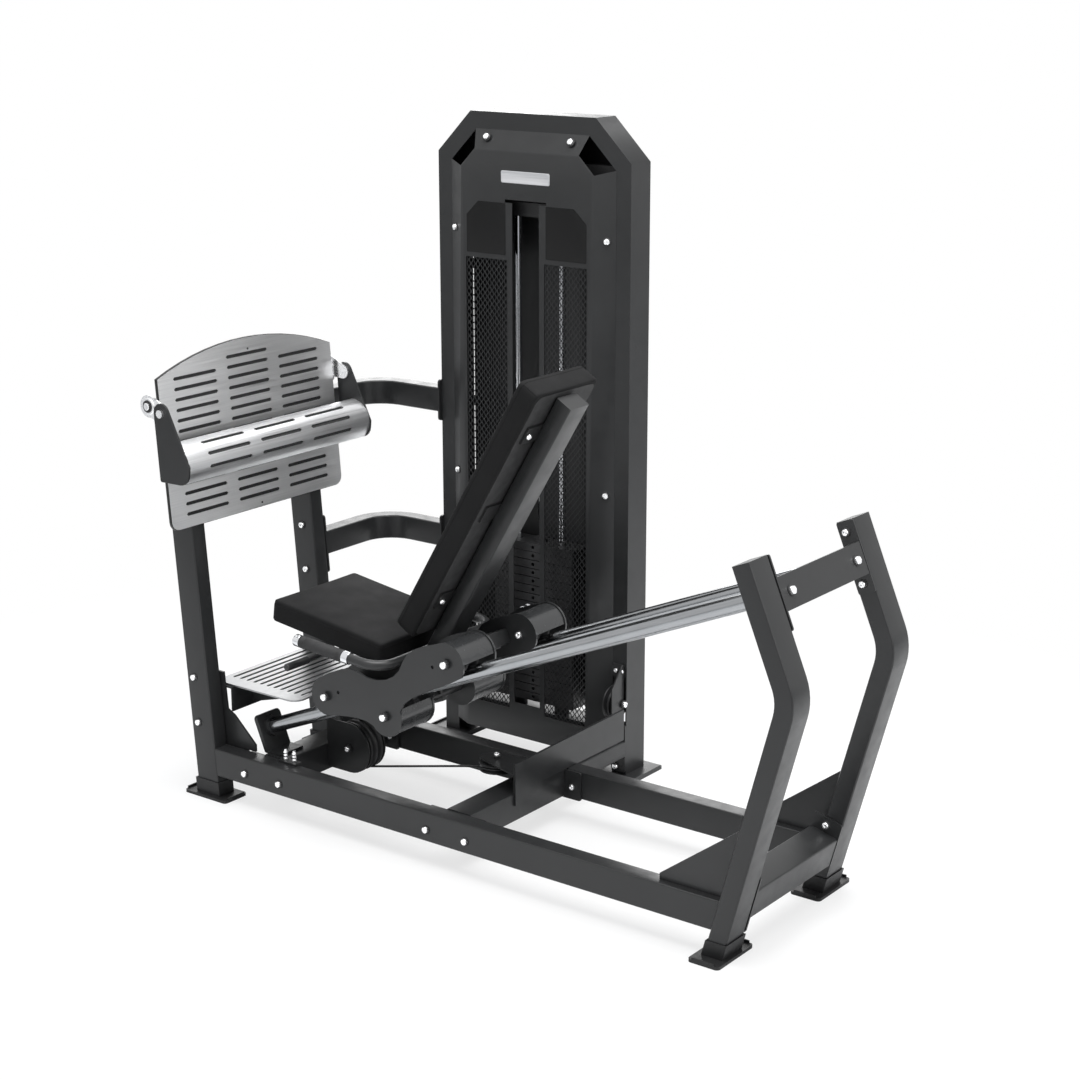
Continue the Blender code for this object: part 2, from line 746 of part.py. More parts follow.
def build_rail_end_bracket():
    """The plate that carries the rails' upper ends between the rear posts."""
    inner = FRAME_Y - TUBE_WIDE / 2
    face = GUIDE_END_S + GAP
    cross = plate("rail_end_bracket", box_outline(-0.040, 0.040, -inner + FLANGE_PLATE, inner - FLANGE_PLATE),
                  face, face + END_PLATE, rail_face())
    flange = rounded(box_outline(face - 0.039, face + END_PLATE + 0.001, -0.085, 0.095), 0.005, 2)
    pieces = []
    for side, sign in sides():
        w0, w1 = both(sign, inner - GAP - FLANGE_PLATE, inner - GAP)
        pieces.append(plate("flange", flange, w0, w1, rails()))
    finish(fuse(cross, *pieces), powder_coat)


def foot_plate_frame():
    """Map (y, distance up the posts, distance off their rear faces)."""
    cos, sin = math.cos(FRONT_LEAN), math.sin(FRONT_LEAN)
    x, z = front_face(PLATE_LOW_Z), PLATE_LOW_Z
    return Matrix(((0, -sin, cos, x), (1, 0, 0, 0), (0, cos, sin, z), (0, 0, 0, 1)))


def foot_plate_outline(inset):
    """A plate with a shallow arched top edge."""
    half = PLATE_HALF - inset
    radius = (PLATE_HALF**2 + PLATE_CROWN**2) / (2 * PLATE_CROWN)
    centre = PLATE_SIDE + PLATE_CROWN - radius
    reach = math.degrees(math.asin(half / (radius - inset)))
    corner = 0.025 - inset
    return (arc((-half + corner, inset + corner), corner, 180, 270, 4)
            + arc((half - corner, inset + corner), corner, 270, 360, 4)
            + arc((0, centre), radius - inset, 90 - reach, 90 + reach, 14))


def build_foot_plate():
    slots = []
    for column, rows in zip((-1, 0, 1), SLOT_ROWS):
        middle = column * SLOT_COLUMN
        for row in range(rows):
            slots.append(slot_outline(middle - SLOT_LENGTH / 2, middle + SLOT_LENGTH / 2,
                                      SLOT_FIRST + row * SLOT_PITCH, SLOT_WIDTH))
    frame = foot_plate_frame()
    finish(plate("foot_plate_backing", foot_plate_outline(0), GAP, GAP + BACKING_THICK, frame), black_plastic)
    start = GAP + BACKING_THICK + GAP
    finish(plate("foot_plate_tread", foot_plate_outline(0.0015), start, start + TREAD_THICK, frame, slots), steel)


def build_calf_roller():
    """Two side arms that carry a slotted half-round shell, hung on the lugs' bolts."""
    x, z = ROLLER_CENTRE
    inner = ARM_Y - PLATE
    low = z - ROLLER_RADIUS + 0.011
    corners = [(x - 0.047, low), (x + 0.058, low + 0.002), (x + 0.063, z + 0.005)]
    arm = rounded(corners + [ROLLER_HINGE], [0.006, 0.034, 0.010, 0], 5)[:-1]
    arm += arc(ROLLER_HINGE, ARM_TOP_RADIUS, 25, 178, 10)
    shell_outline = (arc(ROLLER_CENTRE, ROLLER_RADIUS, -48, 96, 14)
                     + arc(ROLLER_CENTRE, ROLLER_RADIUS - SHEET, 96, -48, 14))
    shell = plate("calf_roller", shell_outline, -inner - LAP, inner + LAP, in_xz())
    cutters = []
    for angle in ROLLER_SLOT_ANGLES:
        out = math.radians(angle)
        cos, sin = math.cos(out), math.sin(out)
        frame = Matrix(((0, sin, cos, x), (1, 0, 0, 0), (0, -cos, sin, z), (0, 0, 0, 1)))
        for column in (-1, 0, 1):
            middle = column * SLOT_COLUMN
            slot = slot_outline(middle - SLOT_LENGTH / 2, middle + SLOT_LENGTH / 2, 0, SLOT_WIDTH)
            cutters.append(plate("slot", slot, ROLLER_RADIUS - 0.015, ROLLER_RADIUS + 0.015, frame))
    cut(shell, *cutters)
    pieces = []
    for side, sign in sides():
        w0, w1 = both(sign, inner, ARM_Y)
        pieces.append(plate("arm", arm, w0, w1, in_xz(), [circle(ROLLER_HINGE, BORE, 16)]))
    fuse(shell, *pieces)
    finish(shell, steel)
    set_pivot(shell, (ROLLER_HINGE[0], 0, ROLLER_HINGE[1]))


def build_roller_lugs():
    """Each lug is a tab behind the foot plate, a round-ended ear beside it and the pivot bolt."""
    x, z = ROLLER_HINGE
    inner = ARM_Y - PLATE
    up = (z - PLATE_LOW_Z) / math.cos(FRONT_LEAN)
    for side, sign in sides():
        w0, w1 = both(sign, inner - GAP - PLATE, inner - GAP)
        outline = arc((x, z), 0.020, -98, 74, 8) + arc(LUG_FRONT, 0.030, 74, 262, 12)
        ear = plate("roller_lug_" + side, outline, w0, w1, in_xz())
        y0, y1 = both(sign, LUG_TAB_Y, inner - GAP - LAP)
        tab = plate("tab", rounded(box_outline(y0, y1, up - LUG_HALF_HEIGHT, up + LUG_HALF_HEIGHT), 0.004, 1),
                    -PLATE, 0, foot_plate_frame())
        head = ARM_Y + GAP
        bolt = turned("bolt", (x, 0, z), Y_AXIS * sign, [(inner - GAP - LAP, AXLE_RADIUS), (head, AXLE_RADIUS),
                                                         (head, 0.011), (head + 0.007, 0.011)])
        finish(fuse(ear, tab, bolt), steel)


def build_step():
    """The step plate and the U-shaped bracket that carries it between the front posts."""
    outer = INNER_FACE_Y - GAP
    top, low, rail = STEP_SIDE_TOP_Z, STEP_SIDE_LOW_Z, RAIL_TOP_Z + 0.0005
    waist = top - 0.105
    side_outline = [(front_face(top) + 0.012, top), (front_face(waist) + 0.014, waist),
                    (STEP_SIDE_X - 0.076, waist - 0.014), (STEP_SIDE_X, rail + 0.0195), (STEP_SIDE_X, rail),
                    (STEP_SIDE_X - 0.029, rail), (STEP_SIDE_X - 0.029, low),
                    (front_face(low) - STEP_SIDE_DEPTH, low), (front_face(top) - STEP_SIDE_DEPTH, top)]
    under = STEP_TOP_Z - STEP_THICK - GAP
    ledge = box("step_bracket", STEP_APRON_X - TUBE_WIDE, STEP_APRON_X, -outer + PLATE / 2, outer - PLATE / 2,
                under - FLANGE_PLATE, under)
    pieces = [box("apron", STEP_APRON_X - FLANGE_PLATE, STEP_APRON_X, -outer + PLATE / 2, outer - PLATE / 2,
                  STEP_APRON_Z, under - LAP)]
    for side, sign in sides():
        w0, w1 = both(sign, outer - PLATE, outer)
        pieces.append(plate("side", side_outline, w0, w1, in_xz()))
        w0, w1 = both(sign, STEP_ARM_Y - FLANGE_PLATE, STEP_ARM_Y)
        joint = STEP_APRON_X - LAP
        arm = [(joint, STEP_APRON_Z + 0.007), (joint, under), (STEP_ARM_X, under), (STEP_ARM_X, under - 0.012)]
        pieces.append(plate("arm", arm, w0, w1, in_xz()))
    finish(fuse(ledge, *pieces), powder_coat)

    outline = rounded([(-STEP_HALF, STEP_FRONT_X), (STEP_HALF, STEP_FRONT_X), (STEP_HALF, STEP_REAR_X),
                       (-STEP_HALF, STEP_REAR_X)], [0.006, 0.006, 0.030, 0.030])
    slots = [slot_outline(-STEP_SLOT_HALF, STEP_SLOT_HALF, STEP_FRONT_X + 0.022 + row * STEP_SLOT_PITCH, SLOT_WIDTH)
             for row in range(STEP_SLOTS)]
    finish(plate("step_plate", outline, STEP_TOP_Z - STEP_THICK, STEP_TOP_Z, in_yx(), slots), steel)


def build_braces():
    """The two bent tubes that tie the right front post to the tower's left upright."""
    wall = TOWER_X - TOWER_HALF
    post_y = FRAME_Y + TUBE_THIN / 2
    for name, z in (("lower_brace", LOWER_BRACE_Z), ("upper_brace", UPPER_BRACE_Z)):
        x = front_axis(z)
        start, end = post_y + GAP + PLATE - LAP, wall - GAP - PLATE + LAP
        path = fillet_path([(x, start, z), (x, BRACE_Y, z), (end, BRACE_Y, z)], BRACE_BEND, 7)
        tube = sweep(name, path, bar_section(BRACE_HEIGHT, TUBE_THIN), Z_AXIS)
        outline = box_outline(-TUBE_WIDE / 2 - 0.015, TUBE_WIDE / 2 - 0.0005, -BRACE_FLANGE_HALF, BRACE_FLANGE_HALF)
        at_post = plate("flange", rounded(outline, 0.008, 2), post_y + GAP, post_y + GAP + PLATE,
                        tilted((x, z), FRONT_LEAN))
        outline = box_outline(*TOWER_FLANGE_Y, z - TOWER_FLANGE_HALF, z + TOWER_FLANGE_HALF)
        at_tower = plate("flange", rounded(outline, 0.008, 2), wall - GAP - PLATE, wall - GAP, in_yz())
        finish(fuse(tube, at_post, at_tower), powder_coat)


def arch_outline(half, corner_z, top_half, top_z, bottom_z):
    """The tower's outline: upright sides, a cut corner and a flat top, as (x, z)."""
    return [(TOWER_X - half, bottom_z), (TOWER_X + half, bottom_z), (TOWER_X + half, corner_z),
            (TOWER_X + top_half, top_z), (TOWER_X - top_half, top_z), (TOWER_X - half, corner_z)]


def inset_arch(inset):
    """Half width, corner height, top half width and top height of the tower's outline moved inwards."""
    slope = math.atan2(TOWER_TOP_Z - TOWER_CORNER_Z, TOWER_HALF - TOWER_TOP_HALF)
    return (TOWER_HALF - inset, TOWER_CORNER_Z - inset * math.tan((math.pi / 2 - slope) / 2),
            TOWER_TOP_HALF - inset * math.tan(slope / 2), TOWER_TOP_Z - inset)


def build_tower_frame():
    """A channel bent into an arch, open towards the stack, with the base beam and the feet."""
    low = FOOT_PLATE_Z / 2
    corners = [Vector(p) for p in arch_outline(TOWER_HALF, TOWER_CORNER_Z, TOWER_TOP_HALF, TOWER_TOP_Z, low)]
    path = corners[1:] + corners[:1]
    front, back, wide = TOWER_FRONT_Y, TOWER_BACK_Y, CHANNEL_WIDTH
    section = [(0, front), (wide, front), (wide, front + SHEET), (SHEET, front + SHEET), (SHEET, back - SHEET),
               (wide, back - SHEET), (wide, back), (0, back)]
    rings = []
    for i, corner in enumerate(path):
        inward = []
        for a, b in ((i - 1, i), (i, i + 1)):
            if a >= 0 and b < len(path):
                run = (path[b] - path[a]).normalized()
                inward.append(Vector((-run.y, run.x)))
        if len(inward) == 1:
            mitre = inward[0]
        else:
            mitre = (inward[0] + inward[1]) / (1 + inward[0].dot(inward[1]))
        rings.append([(corner.x + mitre.x * d, y, corner.y + mitre.y * d) for d, y in section])
    frame = loft("tower_frame", [[Vector(p) for p in ring] for ring in rings])

    web = TOWER_HALF - SHEET / 2
    pieces = [box("beam", TOWER_X - web, TOWER_X + web, front + SHEET + 0.002, back - SHEET - 0.002, *BEAM_Z)]
    for side, sign in sides():
        middle = TOWER_X + sign * TOWER_FOOT_X
        foot = rounded(box_outline(middle - TOWER_FOOT_HALF, middle + TOWER_FOOT_HALF, *TOWER_FOOT_Y), 0.010)
        pieces.append(plate("foot", foot, 0, FOOT_PLATE_Z, in_xy()))
        for end in (-1, 1):
            x0, x1 = sorted((middle + end * (TOWER_FOOT_HALF - GAP), middle + end * (TOWER_FOOT_HALF - LIP_THICK)))
            pieces.append(box("lip", x0, x1, TOWER_FOOT_Y[0] + LIP_INSET, TOWER_FOOT_Y[1] - LIP_INSET, LAP, LIP_HEIGHT))
        seat_x = TOWER_X + sign * ROD_SPREAD
        pieces.append(revolve("bumper", [(ROD_RADIUS + GAP, BEAM_Z[1] - LAP), (0.022, BEAM_Z[1] - LAP),
                                         (0.022, STACK_BOTTOM_Z - GAP), (ROD_RADIUS + GAP, STACK_BOTTOM_Z - GAP)],
                              (seat_x, STACK_Y, 0), Z_AXIS, 16))
    fuse(frame, *pieces)
    inner_wall = TOWER_X + TOWER_HALF - SHEET - 0.0007
    lip_edge = TOWER_X + TOWER_HALF - CHANNEL_WIDTH
    reach = TOWER_PULLEY_RADIUS + PULLEY_RIM + 0.006
    cut(frame, box("window", lip_edge - 0.010, inner_wall, front - 0.004, front + SHEET + 0.001,
                   TOWER_PULLEY_Z - reach, TOWER_PULLEY_Z + reach + 0.018))
    finish(frame, powder_coat)


def build_covers():
    """The formed front cover with its open corners and selector slot, and the flat back cover."""
    half, corner_z, top_half, top_z = inset_arch(CHANNEL_WIDTH - COVER_LAP)
    rim = (half, corner_z, top_half, top_z)
    face = (half - COVER_SIDE_RUN, corner_z - COVER_CORNER_DROP, top_half - COVER_CORNER_SHIFT,
            top_z - COVER_TOP_RUN)
    rim_y, face_y = TOWER_FRONT_Y - GAP, COVER_FACE_Y

    def ring(values, bottom_z, y):
        return [Vector((x, y, z)) for x, z in arch_outline(*values, bottom_z)]

    def between(y):
        share = (y - face_y) / (rim_y - face_y)
        return [a + (b - a) * share for a, b in zip(face, rim)]

    shell = loft("front_cover", [ring(rim, COVER_LOW_Z, rim_y), ring(face, COVER_LOW_Z, face_y)])
    behind = face_y + COVER_SHEET
    wall = COVER_SHEET * 1.44
    rim_inside = (half - wall, corner_z - COVER_SHEET * 0.6, top_half - COVER_SHEET * 0.7, top_z - wall)
    face_inside = [value - COVER_SHEET * 0.2 for value in face]
    hollow = loft("hollow", [ring(rim_inside, COVER_LOW_Z + COVER_SHEET, rim_y + 0.001),
                             ring(face_inside, COVER_LOW_Z + COVER_SHEET, behind)])
    tab_low = SLOT_TOP_Z - SLOT_TAB_HEIGHT
    tab = SLOT_HALF + SLOT_TAB
    slot = [(TOWER_X - SLOT_HALF, SLOT_LOW_Z), (TOWER_X + SLOT_HALF, SLOT_LOW_Z), (TOWER_X + SLOT_HALF, tab_low),
            (TOWER_X + tab, tab_low), (TOWER_X + tab, SLOT_TOP_Z), (TOWER_X - tab, SLOT_TOP_Z),
            (TOWER_X - tab, tab_low), (TOWER_X - SLOT_HALF, tab_low)]
    corners = []
    for side, sign in sides():
        rings = []
        for y in (behind + 0.0005, rim_y + 0.002):
            at_side, at_corner, at_top, at_crown = between(y)
            low = Vector((TOWER_X + sign * at_side, y, at_corner))
            high = Vector((TOWER_X + sign * at_top, y, at_crown))
            along = (high - low).normalized()
            out = Vector((-along.z, 0, along.x)) * -sign * 0.008
            rings.append([low - out, low + out, high + out, high - out])
        corners.append(loft("corner", rings))
    cut(shell, hollow, plate("slot", slot, face_y - 0.007, behind + 0.010, in_xz()), *corners)
    finish(shell, powder_coat)
    back = TOWER_BACK_Y + GAP
    finish(plate("back_cover", arch_outline(*inset_arch(BACK_COVER_INSET), BACK_COVER_LOW_Z), back,
                 back + BACK_COVER_SHEET, in_xz()), powder_coat)


def stack_block(name, start_z, count):
    """Weight plates as one solid with a groove at each joint, holes for the rods and the stem."""
    rings = []
    for i in range(count):
        low = start_z + i * STACK_PITCH
        high = low + STACK_PITCH - GROOVE
        for z, inset in ((low, 0.0), (high, 0.0), (high, GROOVE), (low + STACK_PITCH, GROOVE)):
            if i == count - 1 and inset:
                continue
            half_x, half_y = STACK_HALF_X - inset, STACK_HALF_Y - inset
            rings.append([Vector((TOWER_X + u, STACK_Y + v, z)) for u, v in
                          rounded(box_outline(-half_x, half_x, -half_y, half_y), 0.004, 1)])
    block = loft(name, rings)
    z0, z1 = start_z - 0.002, start_z + count * STACK_PITCH + 0.002
    holes = [rod("hole", (TOWER_X + sign * ROD_SPREAD, STACK_Y, z0), (TOWER_X + sign * ROD_SPREAD, STACK_Y, z1),
                 ROD_RADIUS + LAP) for sign in (-1, 1)]
    return block, holes


def build_stack():
    """The resting plates, the lifted plates, the top plate with its stem, and the pin."""
    def stem_hole(z0, z1):
        return rod("hole", (TOWER_X, STACK_Y, z0), (TOWER_X, STACK_Y, z1), STEM_RADIUS + LAP)

    resting, holes = stack_block("resting_plates", STACK_BOTTOM_Z, RESTING_COUNT)
    lifted_z = STACK_BOTTOM_Z + RESTING_COUNT * STACK_PITCH
    cut(resting, stem_hole(STACK_BOTTOM_Z - 0.01, lifted_z + 0.01), *holes)
    finish(resting, black_plastic)

    top_z = lifted_z + LIFTED_COUNT * STACK_PITCH
    pin_z = lifted_z + STACK_PITCH / 2
    lifted, holes = stack_block("lifted_plates", lifted_z, LIFTED_COUNT)
    pin_hole = rod("hole", (TOWER_X, STACK_Y - STACK_HALF_Y - 0.01, pin_z), (TOWER_X, STACK_Y + 0.016, pin_z),
                   PIN_RADIUS + PIN_FIT, 12)
    cut(lifted, stem_hole(lifted_z - 0.01, top_z + 0.01), pin_hole, *holes)
    finish(lifted, black_plastic)

    top, holes = stack_block("top_plate", top_z, 1)
    cut(top, *holes)
    plate_top = top_z + STACK_PITCH - GROOVE
    collar = plate_top + STEM_COLLAR_HEIGHT
    stem = turned("stem", (TOWER_X, STACK_Y, 0), Z_AXIS,
                  [(STACK_BOTTOM_Z + 0.005, STEM_RADIUS - 0.002), (STACK_BOTTOM_Z + 0.008, STEM_RADIUS),
                   (plate_top - LAP, STEM_RADIUS), (plate_top - LAP, STEM_COLLAR_RADIUS),
                   (collar, STEM_COLLAR_RADIUS), (collar, HANGER_ROD_RADIUS), (HANGER_ROD_TOP_Z, HANGER_ROD_RADIUS)])
    strap_low = HANGER_ROD_TOP_Z - 0.006
    strap = plate("strap", rounded(box_outline(TOWER_X - STRAP_WIDTH / 2, TOWER_X + STRAP_WIDTH / 2, strap_low,
                                               STRAP_TOP_Z), 0.002, 1),
                  STACK_Y - STRAP_THICK / 2, STACK_Y + STRAP_THICK / 2, in_xz(),
                  [circle((TOWER_X, STRAP_TOP_Z - 0.008 - i * STRAP_PITCH), 0.003, 8) for i in range(STRAP_HOLES)])
    pin_hole = rod("hole", (TOWER_X, STACK_Y - 0.02, pin_z), (TOWER_X, STACK_Y + 0.02, pin_z),
                   PIN_RADIUS + PIN_FIT, 12)
    fuse(top, stem, strap)
    cut(top, pin_hole)
    finish(top, black_plastic)

    head = COVER_FACE_Y - 0.020
    pin = turned("selector_pin", (TOWER_X, 0, pin_z), Y_AXIS,
                 [(head, PIN_HEAD_RADIUS - 0.003), (head + 0.003, PIN_HEAD_RADIUS), (head + 0.015, PIN_HEAD_RADIUS),
                  (head + 0.019, 0.009), (head + 0.025, 0.009), (head + 0.027, PIN_HEAD_RADIUS),
                  (head + 0.031, PIN_HEAD_RADIUS), (head + 0.031, PIN_RADIUS), (STACK_Y + 0.0145, PIN_RADIUS),
                  (STACK_Y + 0.0155, PIN_RADIUS - 0.001)])
    finish(pin, black_plastic)
    set_pivot(pin, (TOWER_X, head + 0.031, pin_z))
    for thing in (lifted, top):
        set_pivot(thing, (TOWER_X, STACK_Y, lifted_z))


def build_tower_inside():
    """The two guide rods and the bar at their top, which also carries the top pulleys."""
    bar_low = TOP_BAR_Z
    bar_top = bar_low + TOP_BAR_HEIGHT
    for side, sign in sides():
        x = TOWER_X + sign * ROD_SPREAD
        finish(rod("guide_rod_" + side, (x, STACK_Y, BEAM_Z[1] + GAP), (x, STACK_Y, bar_low - GAP), ROD_RADIUS),
               chrome)
    half = TOWER_HALF - SHEET - GAP
    bar = box("top_pulley_bracket", TOWER_X - half, TOWER_X + half, TOWER_FRONT_Y + SHEET + GAP,
              TOWER_BACK_Y - SHEET - GAP, bar_low, bar_top)
    side_x = TOWER_X + TOP_PULLEY_RADIUS + TOP_SPAN
    shoulder, crown = TOP_PULLEY_Z + 0.035, TOP_PULLEY_Z + TOP_PULLEY_RADIUS + 0.012
    cheek = [(TOWER_X - 0.015, bar_top - 0.001), (side_x + 0.050, bar_top - 0.001), (side_x + 0.050, shoulder),
             (side_x + 0.025, crown), (TOWER_X + 0.010, crown), (TOWER_X - 0.015, shoulder)]
    pieces = [plate("cheek", cheek, y, y + 0.004, in_xz()) for y in (STACK_Y - 0.0185, STACK_Y + 0.0145)]
    for x in (TOWER_X + TOP_PULLEY_RADIUS, side_x):
        pieces.append(turned("axle", (x, STACK_Y, TOP_PULLEY_Z), Y_AXIS,
                             [(-0.024, 0.010), (-0.018, 0.010), (-0.018, AXLE_RADIUS), (0.018, AXLE_RADIUS),
                              (0.018, 0.010), (0.024, 0.010)]))
    fuse(bar, *pieces)
    holes = [rod("hole", (x, STACK_Y, bar_low - 0.01), (x, STACK_Y, bar_top + 0.01), 0.009)
             for x in (TOWER_X, side_x + TOP_PULLEY_RADIUS)]
    cut(bar, *holes)
    finish(bar, powder_coat)


def build_tower_links():
    """The tube from the right base rail to the tower, and the low pulley's bracket."""
    upright_x = TOWER_X + TOWER_HALF
    face = TOWER_FRONT_Y - GAP
    x = upright_x - 0.025
    start = FRAME_Y + TUBE_THIN / 2 + GAP
    tube = sweep("link_tube", [Vector((x, start, 0.0855)), Vector((x, face - LAP, 0.0855))],
                 bar_section(TUBE_THIN, TUBE_THIN), Vector((1, 0, 0)))
    beside_cover = upright_x - CHANNEL_WIDTH + COVER_LAP + 0.0005
    flange = rounded(box_outline(beside_cover, upright_x, 0.016, 0.158), 0.005, 2)
    finish(fuse(tube, plate("flange", flange, face - PLATE, face, in_xz())), powder_coat)

    hanger_x = TOWER_CABLE_X + 0.0205
    y, z = STACK_Y - TOWER_PULLEY_RADIUS, TOWER_PULLEY_Z
    top = z + 0.114
    outline = [(y - 0.051, z - 0.021), (y - 0.025, z - 0.043), (face, z - 0.043), (face, top), (face - PLATE, top),
               (y - 0.051, z + 0.057)]
    wing = rounded(box_outline(beside_cover, hanger_x + 0.002, top - 0.037, top), 0.003, 1)
    axle = turned("axle", (0, y, z), Vector((1, 0, 0)),
                  [(beside_cover + 0.0005, 0.010), (TOWER_CABLE_X - 0.0115, 0.010),
                   (TOWER_CABLE_X - 0.0115, AXLE_RADIUS), (TOWER_CABLE_X + 0.0115, AXLE_RADIUS),
                   (TOWER_CABLE_X + 0.0115, 0.010), (hanger_x + 0.0075, 0.010)])
    hanger = plate("tower_pulley_bracket", outline, hanger_x, hanger_x + 0.004, in_yz())
    finish(fuse(hanger, plate("wing", wing, face - PLATE, face, in_xz()), axle), powder_coat)


def grooved_profile(radius, width, grooves):
    """A pulley's section, with its grooves at the given offsets, as (radius, offset)."""
    rim, root = radius + PULLEY_RIM, radius - CABLE_RADIUS - 0.0008
    profile = [(BORE, -width / 2), (rim, -width / 2)]
    for middle in grooves:
        profile += [(rim, middle - 0.007), (root, middle - 0.002), (root, middle + 0.002), (rim, middle + 0.007)]
    return profile + [(rim, width / 2), (BORE, width / 2)]


def build_pulleys():
    x_axis = Vector((1, 0, 0))
    top_y = STACK_Y
    layout = (
        ("front_pulley", (FRONT_PULLEY[0], 0, FRONT_PULLEY[1]), Y_AXIS, FRONT_PULLEY_RADIUS, 0.050,
         (-CABLE_Y, CABLE_Y)),
        ("mid_pulley", (*MID_PULLEY, CABLE_LOW_Z), Z_AXIS, MID_PULLEY_RADIUS, PULLEY_WIDTH, (0,)),
        ("tower_pulley", (TOWER_CABLE_X, STACK_Y - TOWER_PULLEY_RADIUS, TOWER_PULLEY_Z), x_axis,
         TOWER_PULLEY_RADIUS, PULLEY_WIDTH, (0,)),
        ("top_pulley_side", (TOWER_X + TOP_PULLEY_RADIUS + TOP_SPAN, top_y, TOP_PULLEY_Z), Y_AXIS,
         TOP_PULLEY_RADIUS, PULLEY_WIDTH, (0,)),
        ("top_pulley_centre", (TOWER_X + TOP_PULLEY_RADIUS, top_y, TOP_PULLEY_Z), Y_AXIS, TOP_PULLEY_RADIUS,
         PULLEY_WIDTH, (0,)),
    )
    for name, centre, axis, radius, width, grooves in layout:
        wheel = revolve(name, grooved_profile(radius, width, grooves), centre, axis)
        finish(wheel, black_plastic)
        set_pivot(wheel, centre)


def cable_route():
    """The cable's centre line, from the sled round its pulleys to the last one above the stack."""
    start = rail_point(*CABLE_ANCHOR, CABLE_Y)
    route = [start]

    x, z = FRONT_PULLEY
    radius = FRONT_PULLEY_RADIUS
    goal = (MID_PULLEY[0] - 0.040, CABLE_LOW_Z)
    reach = math.dist(goal, FRONT_PULLEY)
    rise = math.degrees(math.atan2(goal[1] - z, goal[0] - x) + math.asin(radius / reach))
    wrap = arc((x, z), radius, 90 + math.degrees(RAIL_TILT), 270 + rise, 14)
    route += [Vector((a, CABLE_Y, b)) for a, b in wrap]

    slope = math.tan(math.radians(rise))
    before = (goal[0] - 0.070, goal[1] - 0.070 * slope)
    level = (goal[0] + 0.016, goal[1])
    easing = [before] + bezier(before, goal, goal, level, 5) + [level]
    route += [Vector((a, CABLE_Y, b)) for a, b in easing]

    turn = arc(MID_PULLEY, MID_PULLEY_RADIUS, -90, 0, 6)
    route += [Vector((a, b, CABLE_LOW_Z)) for a, b in turn]

    turn = arc((STACK_Y - TOWER_PULLEY_RADIUS, TOWER_PULLEY_Z), TOWER_PULLEY_RADIUS, -90, 0, 6)
    route += [Vector((TOWER_CABLE_X, a, b)) for a, b in turn]

    for x, first, last in ((TOWER_X + TOP_PULLEY_RADIUS + TOP_SPAN, 0, 90),
                           (TOWER_X + TOP_PULLEY_RADIUS, 90, 180)):
        turn = arc((x, TOP_PULLEY_Z), TOP_PULLEY_RADIUS, first, last, 6)
        route += [Vector((a, STACK_Y, b)) for a, b in turn]
    route.append(Vector((TOWER_X, STACK_Y, CABLE_JOIN_Z + GAP)))
    return route


def cable_object(name, route):
    """A round cable along a route, as a curve with a bevel and closed ends."""
    curve = bpy.data.curves.new(name, "CURVE")
    curve.dimensions = "3D"
    curve.bevel_depth = CABLE_RADIUS
    curve.bevel_resolution = 2
    curve.use_fill_caps = True
    line = curve.splines.new("POLY")
    line.points.add(len(route) - 1)
    for point, place in zip(line.points, route):
        point.co = (*place, 1.0)
    return finish(new_object(name, curve), cable_black)


def build_cable():
    cable_object("cable", cable_route())
    cable_object("stack_cable", [Vector((TOWER_X, STACK_Y, CABLE_JOIN_Z)),
                                 Vector((TOWER_X, STACK_Y, STRAP_TOP_Z + GAP))])


def sled_outline():
    """The side plate of the sled: three lobes round the axles with hollow curves between them."""
    front_top, front_low = arc(AXLE_FRONT, LOBE, 100, 250, 9)[0], arc(AXLE_FRONT, LOBE, 100, 250, 9)[-1]
    rear = arc(AXLE_REAR, LOBE + 0.003, -52, 100, 9)
    lower = arc(AXLE_LOWER, LOBE + 0.002, 195, 362, 10)
    hollow_start, hollow_end = (-0.312, 0.086), (-0.148, 0.078)
    outline = arc(AXLE_FRONT, LOBE, 100, 250, 9)
    outline += bezier(front_low, (-0.41, -0.014), (-0.335, -0.035), lower[0], 5)
    outline += lower
    outline += bezier(lower[-1], (-0.185, 0.000), (-0.060, -0.016), rear[0], 6)
    outline += rear
    outline += bezier(rear[-1], (-0.060, 0.104), (-0.118, 0.112), hollow_end, 4)
    outline += [hollow_end] + bezier(hollow_end, (-0.180, 0.036), (-0.262, 0.034), hollow_start, 6) + [hollow_start]
    outline += bezier(hollow_start, (-0.335, 0.110), (-0.395, 0.106), front_top, 4)
    return outline


